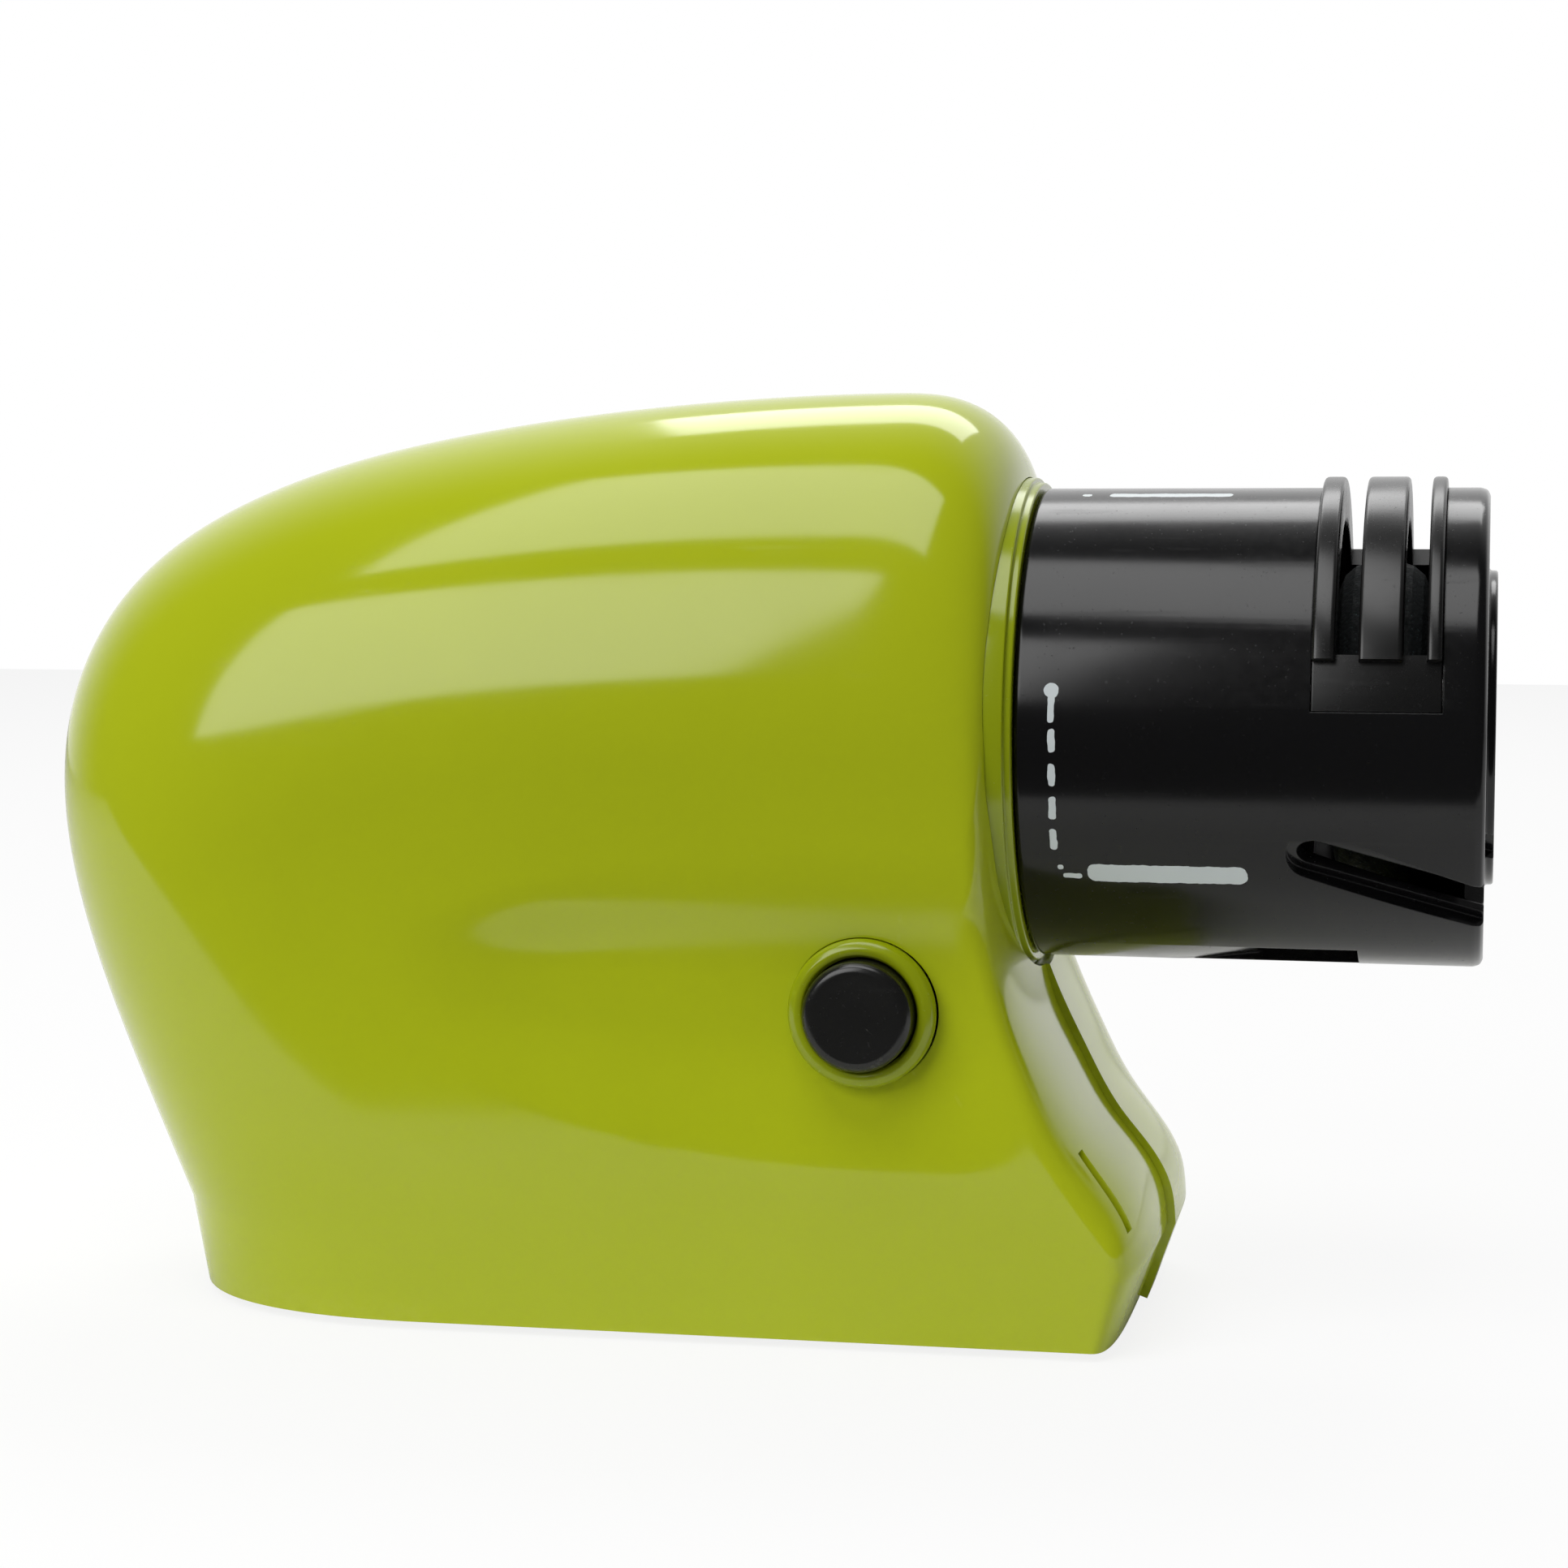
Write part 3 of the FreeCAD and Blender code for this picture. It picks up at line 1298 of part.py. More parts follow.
_, holder_front = holder_x()
terminal_y = size("switch_depth") - size("switch_front") + 4.0
motor_rear = size("motor_start") - size("end_cap_length")
switch_x, switch_z = size("button_x"), size("button_z")
motor_z = size("axis_height")
holder_top = size("cell_level") + size("cell_spacing")
wire_radius = size("wire_radius")
under_motor = motor_z - size("motor_radius") - 3.3 * wire_radius
from_shape("wire_battery_to_switch", wire_run([
    (holder_front, -9.0, holder_top),
    (holder_front + 8.0, -9.0, holder_top),
    (switch_x - 3.0, -4.0, holder_top + 4.0),
    (switch_x - 3.0, terminal_y + 4.0, switch_z),
    (switch_x - 3.0, terminal_y, switch_z),
], wire_radius))
from_shape("wire_switch_to_motor", wire_run([
    (switch_x + 3.0, terminal_y, switch_z),
    (switch_x + 3.0, terminal_y + 7.0, switch_z),
    (switch_x - 8.0, 6.0, under_motor),
    (motor_rear - 5.0, 6.0, under_motor),
    (motor_rear - 5.0, 6.0, motor_z - 8.0),
    (motor_rear, 6.0, motor_z - 8.0),
], wire_radius))
from_shape("wire_battery_to_motor", wire_run([
    (holder_front - 30.0, 10.0, holder_top + size("cell_radius") + size("gap") + size("holder_wall")),
    (holder_front - 30.0, 10.0, (holder_top + motor_z) / 2 - 6.4),
    (motor_rear - 8.0, 12.0, motor_z - 14.0),
    (motor_rear - 8.0, 9.0, motor_z + 6.0),
    (motor_rear, 9.0, motor_z + 6.0),
], wire_radius))


def check_and_write():
    doc.recompute()
    for item in doc.Objects:
        if "Invalid" in item.State or "Error" in item.State:
            raise RuntimeError(f"{item.Label} failed: {item.State}")
    os.makedirs("parts", exist_ok=True)
    for piece in nodes:
        shape = piece.Shape
        if shape.isNull() or not shape.isValid() or not shape.Solids:
            raise RuntimeError(f"{piece.Label} isn't a valid solid")
        shape.exportStep(f"parts/{piece.Label}.step")
        print(f"{piece.Label:26s} solids {len(shape.Solids)}  volume {shape.Volume:10.1f}  {shape.BoundBox}")


check_and_write()
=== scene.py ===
import json
import math

import bmesh
import bpy
import numpy as np
from mathutils import Matrix, Vector


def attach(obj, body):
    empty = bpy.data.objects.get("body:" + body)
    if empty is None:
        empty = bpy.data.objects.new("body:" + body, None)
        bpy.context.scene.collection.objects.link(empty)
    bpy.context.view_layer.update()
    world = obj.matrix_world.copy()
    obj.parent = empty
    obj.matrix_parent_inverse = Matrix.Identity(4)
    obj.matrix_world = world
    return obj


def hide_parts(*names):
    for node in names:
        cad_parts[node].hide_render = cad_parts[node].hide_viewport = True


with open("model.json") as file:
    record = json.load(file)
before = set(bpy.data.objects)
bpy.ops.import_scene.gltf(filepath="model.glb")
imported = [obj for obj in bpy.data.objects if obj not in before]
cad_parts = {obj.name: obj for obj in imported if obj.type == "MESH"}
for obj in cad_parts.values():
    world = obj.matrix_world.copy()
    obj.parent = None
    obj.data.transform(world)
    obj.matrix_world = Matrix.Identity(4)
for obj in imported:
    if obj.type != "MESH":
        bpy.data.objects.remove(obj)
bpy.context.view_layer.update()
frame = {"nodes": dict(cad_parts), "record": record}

# Sizes are in millimetres and angles in degrees, in the frame of the part: X along the head,
# -Y to the button, Z up. Angles about the head's axis run from the top to the near side.
MM = 0.001
SHELL_BOTTOM = 0.8
BODY_LENGTH = 140.4
BODY_HEIGHT = 110.3
BODY_REAR = -89.2
BASE_HALF_WIDTH = 30.5
WIDEST_AT = -41.7
SIDE_TAPER = 0.03
SIDE_DRAFT = 0.045
WALL = 2.4
SEAM_STEP = 1.0
FIT_GAP = 0.1
CUT_REACH = 60.0
AXIS_HEIGHT = 71.3
DRUM_START = 36.0
DRUM_LENGTH = 52.2
DRUM_RADIUS = 28.2
DRUM_WALL = 2.6
DRUM_WEB = 2.4
DRUM_RUNNING_GAP = 0.08
CAP_THICKNESS = 2.2
CAP_SIDE_GAP = 0.03
CAP_DISC_RADIUS = 18.5
CAP_DISC_PROUD = 1.0
NECK_START = 26.4
NECK_END = 66.0
NECK_RADIUS = 19.0
COLLAR_RADIUS = 29.5
COLLAR_FRONT = 35.8
COLLAR_REAR = 29.4
COLLAR_BORE = 26.2
COLLAR_LIP_RADIUS = 28.9
COLLAR_LIP = 0.9
GUIDE_START = 69.0
GUIDE_WIDTH = 14.4
GUIDE_TURN = 14.0
GUIDE_HALF_ANGLE = 69.5
GUIDE_END_GAP = 0.2
GUIDE_INSET = 1.2
RIB_PROUD = 1.3
RIB_HALF_ANGLE = 58.0
SLOT_FLOOR = 14.9
SLOTS = [(71.6, 74.2), (79.0, 81.6)]
SCISSORS_TURN = 124.5
SCISSORS_SLANT = 22.0
SCISSORS_WIDTH = 3.8
SCISSORS_MOUTH = 6.2
SCISSORS_MOUTH_DEPTH = 1.6
SCISSORS_LENGTH = 20.2
SCISSORS_DEPTH = 11.0
DRIVER_START = 62.0
DRIVER_LENGTH = 12.0
DRIVER_WIDTH = 11.0
DRIVER_TURN = 165.0
DRIVER_RAMP = 12.0
DRIVER_RAMP_DEPTH = 1.6
BUTTON_X = 19.0
BUTTON_Z = 39.5
BUTTON_RADIUS = 6.35
BEZEL_RADIUS = 8.6
BEZEL_SEAT = 29.2
BEZEL_PROUD = 2.2
BEZEL_TUBE_RADIUS = 7.9
BEZEL_TUBE_DEPTH = 3.4
BUTTON_PROUD = 2.7
BUTTON_FLANGE_BEHIND = 1.5
BUTTON_FLANGE_THICKNESS = 1.3
BUTTON_FLANGE_RADIUS = 7.25
SCOOP_DEPTH = 1.5
PRY_SLOT_WIDTH = 1.5
PRY_SLOT_DEPTH = 1.6
PRY_SLOT_INSET = 5.2
SHELL_SCREWS = [(-72.0, 60.0), (-46.0, 95.5), (18.0, 101.5), (-12.0, 43.0), (38.0, 14.0)]
WELL_RADIUS = 3.2
WELL_FLOOR = 6.0
CAMERA_TARGET = (3.33, 0.0, 63.15)
CAMERA_AZIMUTH = 12.4
CAMERA_ELEVATION = 4.6
CAMERA_DISTANCE = 395.0
CAMERA_LENS = 73.23
LIGHTS_TARGET_HEIGHT = 65.0

# Side view of the body: a point of the middle line, and the point of the flat side that it curves
# round to, as shares of the body's length from the rear and of its height.
SIDE_VIEW = [
    ((0.121, 0.097), (0.381, 0.097)),
    ((0.075, 0.236), (0.345, 0.227)),
    ((0.032, 0.383), (0.310, 0.363)),
    ((0.008, 0.539), (0.285, 0.490)),
    ((0.018, 0.675), (0.310, 0.544)),
    ((0.067, 0.789), (0.353, 0.567)),
    ((0.204, 0.900), (0.438, 0.589)),
    ((0.370, 0.956), (0.538, 0.603)),
    ((0.573, 0.989), (0.659, 0.612)),
    ((0.759, 1.000), (0.759, 0.617)),
    ((0.812, 0.994), (0.798, 0.615)),
    ((0.848, 0.970), (0.823, 0.603)),
    ((0.870, 0.932), (0.839, 0.580)),
    ((0.880, 0.879), (0.846, 0.544)),
    ((0.882, 0.762), (0.848, 0.508)),
    ((0.882, 0.580), (0.848, 0.462)),
    ((0.885, 0.417), (0.851, 0.408)),
    ((0.903, 0.328), (0.871, 0.331)),
    ((0.922, 0.279), (0.885, 0.277)),
    ((0.952, 0.212), (0.915, 0.190)),
    ((0.979, 0.169), (0.942, 0.131)),
    ((0.996, 0.127), (0.960, 0.095)),
    ((1.000, 0.086), (0.964, 0.073)),
]
FOOT_POINT = ((0.135, 0.0), (0.395, 0.0))
LIP_POINT = ((0.976, 0.0), (0.954, 0.0))
FIRST_BROW_POINT = 9
FIRST_NOSE_POINT = 16
CROWN_POWER = 2.0
REAR_POWER = 2.3
FRONT_POWER = 3.5


# Meshes

def mesh_piece(name, points, faces, sharp=35.0):
    """A new object from points in millimetres, smooth but for edges sharper than so many degrees."""
    mesh = bpy.data.meshes.new(name)
    mesh.from_pydata([tuple(c * MM for c in p) for p in points], [], faces)
    work = bmesh.new()
    work.from_mesh(mesh)
    bmesh.ops.remove_doubles(work, verts=work.verts, dist=1e-7)
    bmesh.ops.recalc_face_normals(work, faces=work.faces)
    work.to_mesh(mesh)
    work.free()
    piece = bpy.data.objects.new(name, mesh)
    bpy.context.collection.objects.link(piece)
    soften(piece, sharp)
    return piece


def soften(piece, sharp):
    for polygon in piece.data.polygons:
        polygon.use_smooth = True
    piece.data.set_sharp_from_angle(angle=math.radians(sharp))


def settled(piece, sharp=35.0):
    """The piece with its modifiers worked into its mesh."""
    bpy.context.view_layer.update()
    graph = bpy.context.evaluated_depsgraph_get()
    mesh = bpy.data.meshes.new_from_object(piece.evaluated_get(graph))
    piece.modifiers.clear()
    piece.data = mesh
    soften(piece, sharp)
    return piece


def combine(piece, others, operation):
    """The piece joined with the others, or cut by them. The others are used up."""
    for other in others:
        modifier = piece.modifiers.new("combine", "BOOLEAN")
        modifier.operation = operation
        modifier.solver = "MANIFOLD"
        modifier.object = other
    settled(piece)
    for other in others:
        bpy.data.objects.remove(other)
    return piece


def rounded(outline, radius, closed=True, steps=4):
    """An outline with each corner replaced by a short arc."""
    points = [Vector(p) for p in outline]
    count = len(points)
    made = []
    for i, corner in enumerate(points):
        if not closed and i in (0, count - 1):
            made.append(corner)
            continue
        before = points[i - 1] - corner
        after = points[(i + 1) % count] - corner
        reach = min(radius, 0.4 * before.length, 0.4 * after.length)
        start = corner + before.normalized() * reach
        end = corner + after.normalized() * reach
        for step in range(steps + 1):
            t = step / steps
            made.append(start * (1 - t) ** 2 + corner * 2 * t * (1 - t) + end * t ** 2)
    return made


def lathe(name, outline, closed=True, radius=0.3, facing="+X", place=(0, 0, AXIS_HEIGHT), steps=192):
    """A piece turned about a line along X or -Y. The outline holds (distance along it, radius)."""
    profile = rounded(outline, radius, closed)
    points = []
    for along, out in profile:
        for step in range(steps):
            angle = 2 * math.pi * step / steps
            across, up = out * math.sin(angle), out * math.cos(angle)
            if facing == "+X":
                points.append((place[0] + along, place[1] + across, place[2] + up))
            else:
                points.append((place[0] + across, place[1] - along, place[2] + up))
    faces = []
    rows = len(profile)
    for row in range(rows if closed else rows - 1):
        following = (row + 1) % rows
        for step in range(steps):
            beside = (step + 1) % steps
            faces.append((row * steps + step, row * steps + beside,
                          following * steps + beside, following * steps + step))
    return mesh_piece(name, points, faces)


def cutter(name, start, end, bore, **options):
    """A plain cylinder to cut with, from start to end along its line and bore in radius."""
    outline = [(start, 0), (start, bore), (end, bore), (end, 0)]
    return lathe(name, outline, closed=False, radius=0.01, **options)


def prism(name, outline, low, high, axis="y"):
    """A closed outline pushed along an axis. For y the outline is (x, z); for z it is (x, y)."""
    points = []
    for level in (low, high):
        for a, b in outline:
            points.append((a, level, b) if axis == "y" else (a, b, level))
    count = len(outline)
    faces = [tuple(range(count)), tuple(range(2 * count - 1, count - 1, -1))]
    for i in range(count):
        beside = (i + 1) % count
        faces.append((i, beside, count + beside, count + i))
    return mesh_piece(name, points, faces)


def arc_sweep(name, outline, first, last, steps=96):
    """An outline of (x, radius) swept about the head's axis. Angles run from the top to the near side."""
    points = []
    for step in range(steps + 1):
        angle = math.radians(first + (last - first) * step / steps)
        for x, r in outline:
            points.append((x, -r * math.sin(angle), AXIS_HEIGHT + r * math.cos(angle)))
    count = len(outline)
    faces = [tuple(range(count)), tuple(steps * count + i for i in reversed(range(count)))]
    for step in range(steps):
        here, there = count * step, count * (step + 1)
        for i in range(count):
            beside = (i + 1) % count
            faces.append((here + i, here + beside, there + beside, there + i))
    return mesh_piece(name, points, faces)


def arc_block(name, start, end, outer, inner, first, last, corner=0.0):
    """A piece of a tube about the head's axis, with its long edges rounded by corner."""
    outline = [(start, inner), (end, inner), (end, outer), (start, outer)]
    if corner:
        outline = rounded(outline, corner)
    return arc_sweep(name, outline, first, last)


def joined(pieces):
    """The first piece with the closed meshes of the others beside its own."""
    work = bmesh.new()
    for piece in pieces:
        work.from_mesh(piece.data)
    work.to_mesh(pieces[0].data)
    work.free()
    for other in pieces[1:]:
        bpy.data.objects.remove(other)
    soften(pieces[0], 35.0)
    return pieces[0]


def turn_about_axis(piece, degrees):
    """Turned about the head's axis from the top towards the near side."""
    middle = Vector((0, 0, AXIS_HEIGHT * MM))
    turn = Matrix.Rotation(math.radians(degrees), 4, "X")
    piece.data.transform(Matrix.Translation(middle) @ turn @ Matrix.Translation(-middle))
    return piece


# The body's outside

def side_place(share_point):
    return (
        BODY_REAR + share_point[0] * BODY_LENGTH,
        SHELL_BOTTOM + share_point[1] * BODY_HEIGHT,
    )


def half_width(x, z):
    return BASE_HALF_WIDTH - SIDE_TAPER * (x - WIDEST_AT) + SIDE_DRAFT * (z - SHELL_BOTTOM)


def rounding(share, power):
    """1 on the middle line and 0 at the flat side, along a superellipse."""
    return max(0.0, 1.0 - share ** power) ** (1.0 / power)


def spline(knots, values, samples):
    """A natural cubic spline through values at knots, read at samples."""
    knots, values = np.array(knots), np.array(values)
    steps = np.diff(knots)
    count = len(knots)
    matrix = np.zeros((count, count))
    right = np.zeros(values.shape)
    matrix[0, 0] = matrix[-1, -1] = 1.0
    for i in range(1, count - 1):
        matrix[i, i - 1:i + 2] = (steps[i - 1], 2 * (steps[i - 1] + steps[i]), steps[i])
        slopes = (values[i + 1] - values[i]) / steps[i] - (values[i] - values[i - 1]) / steps[i - 1]
        right[i] = 6 * slopes
    bends = np.linalg.solve(matrix, right)
    made = []
    for sample in samples:
        i = min(max(int(np.searchsorted(knots, sample)) - 1, 0), count - 2)
        h, a = steps[i], knots[i + 1] - sample
        b = sample - knots[i]
        made.append(
            (bends[i] * a ** 3 + bends[i + 1] * b ** 3) / (6 * h)
            + (values[i] / h - bends[i] * h / 6) * a
            + (values[i + 1] / h - bends[i + 1] * h / 6) * b
        )
    return made


def body_row(share, step, columns):
    """Points (x, z) of the body's outline at a share of the way from the middle to the side."""
    places = []
    for i, (middle, side) in enumerate(SIDE_VIEW):
        mx, mz = side_place(middle)
        mx += step if i > FIRST_NOSE_POINT else 0.0
        sx, sz = side_place(side)
        x_power = REAR_POWER if i < FIRST_BROW_POINT else FRONT_POWER
        z_power = CROWN_POWER if i < FIRST_NOSE_POINT else FRONT_POWER
        places.append((
            sx + (mx - sx) * rounding(share, x_power),
            sz + (mz - sz) * rounding(share, z_power),
        ))
    knots = [0.0]
    for one, other in zip(SIDE_VIEW, SIDE_VIEW[1:]):
        (x1, z1), (x2, z2) = side_place(one[0]), side_place(other[0])
        knots.append(knots[-1] + math.hypot(x2 - x1, z2 - z1))
    curve = spline(knots, places, np.linspace(0.0, knots[-1], columns))
    ends = []
    for (middle, side), power, shift in ((FOOT_POINT, REAR_POWER, 0.0), (LIP_POINT, FRONT_POWER, step)):
        mx, mz = side_place(middle)
        sx, sz = side_place(side)
        ends.append((sx + (mx + shift - sx) * rounding(share, power), sz))
    foot, lip = np.array(ends[0]), np.array(ends[1])
    rear = [foot + (curve[0] - foot) * t for t in (0, 0.3, 0.6, 0.85, 0.96)]
    front = [curve[-1] + (lip - curve[-1]) * t for t in (0.04, 0.15, 0.4, 0.7, 0.93, 1)]
    return rear + list(curve) + front


def smooth(low, high, value):
    t = min(max((value - low) / (high - low), 0.0), 1.0)
    return t * t * (3 - 2 * t)


def scoop(x, z):
    """Depth of the shallow hollow round the button: a leaf that opens towards the front."""
    tip_x, tip_z, full_x = -38.0, 44.5, 24.0
    height_above, height_below = 14.0, 24.5
    fade_start, fade_end = 28.0, 41.0
    if x <= tip_x:
        return 0.0
    along = min((x - tip_x) / (full_x - tip_x), 1.0)
    spread = math.sqrt(1 - (1 - along) ** 2)
    top = tip_z + height_above * spread
    bottom = tip_z - height_below * spread
    if not bottom < z < top:
        return 0.0
    rise = smooth(bottom, bottom + 0.42 * (top - bottom), z)
    fall = smooth(top, top - 0.4 * (top - bottom), z)
    fade = smooth(fade_end, fade_start, x)
    return SCOOP_DEPTH * rise * fall * fade * smooth(0.0, 0.35, along)


def surface_point(x, z, share, side):
    y = side * share * half_width(x, z)
    depth = scoop(x, z) * smooth(0.9, 1.0, share)
    return (x, y - side * depth, z)


def add_curved_part(points, faces, side, step, columns=300, rows=44):
    """Adds the rounded part, from the middle line out to the flat side, and gives the flat side's edge."""
    across = 0
    for row in range(rows + 1):
        share = 1 - (1 - row / rows) ** 2.2
        line = body_row(share, step, columns)
        across = len(line)
        points += [surface_point(x, z, share, side) for x, z in line]
    for row in range(rows):
        for i in range(across - 1):
            a = row * across + i
            faces.append((a, a + 1, a + across + 1, a + across))
    return list(range(rows * across, (rows + 1) * across))


def add_flat_side(points, faces, side, rim, rings=56, base_steps=90):
    """Adds the flat side in rings, from its edge to the button's place, where the near shell has a hole."""
    lip, foot = points[rim[-1]], points[rim[0]]
    for i in range(1, base_steps):
        t = i / base_steps
        rim.append(len(points))
        x = lip[0] + (foot[0] - lip[0]) * t
        points.append(surface_point(x, SHELL_BOTTOM, 1.0, side))
    hole = BEZEL_RADIUS - 1.0 if side < 0 else 0.02
    last = rim
    for ring in range(1, rings + 1):
        t = (ring / rings) ** 0.9
        current = []
        for index in rim:
            x, z = points[index][0], points[index][2]
            dx, dz = x - BUTTON_X, z - BUTTON_Z
            far = math.hypot(dx, dz)
            reach = far + (hole - far) * t
            current.append(len(points))
            points.append(surface_point(BUTTON_X + dx / far * reach, BUTTON_Z + dz / far * reach, 1.0, side))
        for i in range(len(rim)):
            j = (i + 1) % len(rim)
            faces.append((last[i], last[j], current[j], current[i]))
        last = current
    if side > 0:
        faces.append(tuple(last))


def face_outwards(piece, side):
    """Flips the faces if those of the flat side look inwards."""
    flat_side = Vector((0, side * 31 * MM, 50 * MM))
    nearest = min(piece.data.polygons, key=lambda face: (face.center - flat_side).length)
    if nearest.normal.y * side < 0:
        piece.data.flip_normals()


def shell_cutters(side):
    """Forms for the neck's hole, and for the button's seat and the pry slot or the screw wells."""
    cutters = [cutter("hole_form", NECK_START, CUT_REACH, COLLAR_RADIUS + FIT_GAP)]
    if side < 0:
        cutters.append(cutter("seat_form", 10.0, 45.0, BEZEL_RADIUS + FIT_GAP, facing="-Y",
                              place=(BUTTON_X, 0, BUTTON_Z)))
        cutters.append(pry_slot_form())
    else:
        for x, z in SHELL_SCREWS:
            cutters.append(cutter("well_form", -CUT_REACH, -WELL_FLOOR, WELL_RADIUS, facing="-Y",
                                  place=(x, 0, z), steps=48))
    return cutters


def shell(name, side):
    """One body shell. side is -1 for the near one, which has the button, and 1 for the far one."""
    points, faces = [], []
    edge = add_curved_part(points, faces, side, SEAM_STEP if side > 0 else 0.0)
    add_flat_side(points, faces, side, edge)
    piece = mesh_piece(name, points, faces, 50.0)
    face_outwards(piece, side)
    wall = piece.modifiers.new("wall", "SOLIDIFY")
    wall.thickness = WALL * MM
    wall.offset = -1
    settled(piece, 40.0)
    return combine(piece, shell_cutters(side), "DIFFERENCE")


def pry_slot_form():
    """The narrow recess low on the front face, beside the near edge."""
    upper, lower = side_place((0.935, 0.190)), side_place((0.985, 0.118))
    length = math.hypot(lower[0] - upper[0], lower[1] - upper[1])
    outside = 3.4
    outline = [(0, -PRY_SLOT_DEPTH), (length, -PRY_SLOT_DEPTH), (length, outside), (0, outside)]
    form = prism("slot_form", outline, 0.0, PRY_SLOT_WIDTH)
    angle = math.atan2(upper[1] - lower[1], lower[0] - upper[0])
    form.data.transform(Matrix.Rotation(angle, 4, "Y"))
    move = Vector((upper[0] - 0.6, PRY_SLOT_INSET - BASE_HALF_WIDTH, upper[1])) * MM
    form.data.transform(Matrix.Translation(move))
    return form


# Head

def scissors_forms():
    """Cutters for the slanting slot and its wider mouth, round at their inner ends."""
    past_end, above, arc_steps = 12.0, 6.0, 24
    forms = []
    for width, depth in ((SCISSORS_WIDTH, SCISSORS_DEPTH), (SCISSORS_MOUTH, SCISSORS_MOUTH_DEPTH)):
        half = width / 2
        outline = [(past_end, -half), (past_end, half)]
        for step in range(arc_steps + 1):
            angle = math.pi / 2 + math.pi * step / arc_steps
            outline.append((-SCISSORS_LENGTH + half * math.cos(angle), half * math.sin(angle)))
        form = prism("scissors_form", outline, 0.0, depth + above, axis="z")
        form.data.transform(Matrix.Rotation(math.radians(-SCISSORS_SLANT), 4, "Z"))
        move = Vector((DRUM_START + DRUM_LENGTH, 0, AXIS_HEIGHT + DRUM_RADIUS - depth)) * MM
        form.data.transform(Matrix.Translation(move))
        forms.append(turn_about_axis(form, SCISSORS_TURN + SCISSORS_SLANT * 0.4))
    return forms


def driver_forms():
    """The screwdriver mouth's cutter and the ramp that leads into it."""
    low = AXIS_HEIGHT - DRUM_RADIUS
    half = DRIVER_WIDTH / 2
    end = DRIVER_START + DRIVER_LENGTH
    outside, inside = low - 5, low + 8
    mouth_outline = [(DRIVER_START, outside), (end, outside), (end, inside), (DRIVER_START, inside)]
    mouth = prism("mouth_form", mouth_outline, -half, half)
    start, foot = DRIVER_START - DRIVER_RAMP, DRIVER_START + 0.5
    ramp_outline = [(start, low - 1), (start, low), (foot, low + DRIVER_RAMP_DEPTH), (foot, low - 1)]
    ramp = prism("ramp_form", ramp_outline, -half, half)
    return [turn_about_axis(form, DRIVER_TURN - 180) for form in (mouth, ramp)]


def drum():
    """A hollow drum on two webs, with its window, slots and mouth cut out."""
    end = DRUM_START + DRUM_LENGTH
    inner = DRUM_RADIUS - DRUM_WALL
    bore = NECK_RADIUS + DRUM_RUNNING_GAP
    rear_web = DRUM_START + DRUM_WEB
    front_web = NECK_END - FIT_GAP
    outline = [
        (DRUM_START, bore), (rear_web, bore), (rear_web, inner), (front_web - DRUM_WEB, inner),
        (front_web - DRUM_WEB, bore), (front_web, bore), (front_web, inner), (end, inner),
        (end, DRUM_RADIUS - 0.9), (end - 0.35, DRUM_RADIUS - 0.25), (end - 1.1, DRUM_RADIUS),
        (DRUM_START + 0.4, DRUM_RADIUS), (DRUM_START, DRUM_RADIUS - 0.4),
    ]
    piece = lathe("drum", outline, radius=0.25, steps=256)
    window = arc_block("window_form", GUIDE_START, GUIDE_START + GUIDE_WIDTH, DRUM_RADIUS + 5, inner - 2,
                       GUIDE_TURN - GUIDE_HALF_ANGLE, GUIDE_TURN + GUIDE_HALF_ANGLE)
    return combine(piece, [window] + scissors_forms() + driver_forms(), "DIFFERENCE")


def drum_cap():
    """The end plate with a low disc on it, cut by the scissors slot."""
    end = DRUM_START + DRUM_LENGTH
    rear, front = end - CAP_THICKNESS, end + CAP_DISC_PROUD
    radius = DRUM_RADIUS - DRUM_WALL - CAP_SIDE_GAP
    outline = [
        (rear, 0), (rear, radius), (end, radius),
        (end, CAP_DISC_RADIUS), (front, CAP_DISC_RADIUS), (front, 0),
    ]
    piece = lathe("end_cap", outline, closed=False, radius=0.5, steps=256)
    return combine(piece, scissors_forms(), "DIFFERENCE")


def guide():
    """The saddle with three ribs and the two blade slots between them."""
    start, end = GUIDE_START + FIT_GAP, GUIDE_START + GUIDE_WIDTH - FIT_GAP
    inner = DRUM_RADIUS - DRUM_WALL
    edges = [start, SLOTS[0][0], SLOTS[0][1], SLOTS[1][0], SLOTS[1][1], end]
    pieces = []
    for low, high in zip(edges[::2], edges[1::2]):
        pieces.append(arc_block("guide", low, high, DRUM_RADIUS + RIB_PROUD, inner - GUIDE_INSET,
                                -RIB_HALF_ANGLE, RIB_HALF_ANGLE, corner=0.55))
    slot_end = math.degrees(math.acos(SLOT_FLOOR / (DRUM_RADIUS - DRUM_WALL / 2)))
    guide_end = GUIDE_HALF_ANGLE - GUIDE_END_GAP
    for first, last in ((-guide_end, -slot_end), (slot_end, guide_end)):
        pieces.append(arc_block("saddle_end", start, end, DRUM_RADIUS, inner, first, last, corner=0.2))
    return turn_about_axis(joined(pieces), GUIDE_TURN)


def collar():
    """The green ring behind the drum, with a low lip at its front."""
    shoulder = COLLAR_FRONT - COLLAR_LIP
    outline = [
        (COLLAR_REAR, COLLAR_BORE), (COLLAR_FRONT, COLLAR_BORE), (COLLAR_FRONT, COLLAR_LIP_RADIUS),
        (shoulder, COLLAR_LIP_RADIUS), (shoulder, COLLAR_RADIUS), (COLLAR_REAR, COLLAR_RADIUS),
    ]
    return lathe("collar", outline, radius=0.3, steps=256)


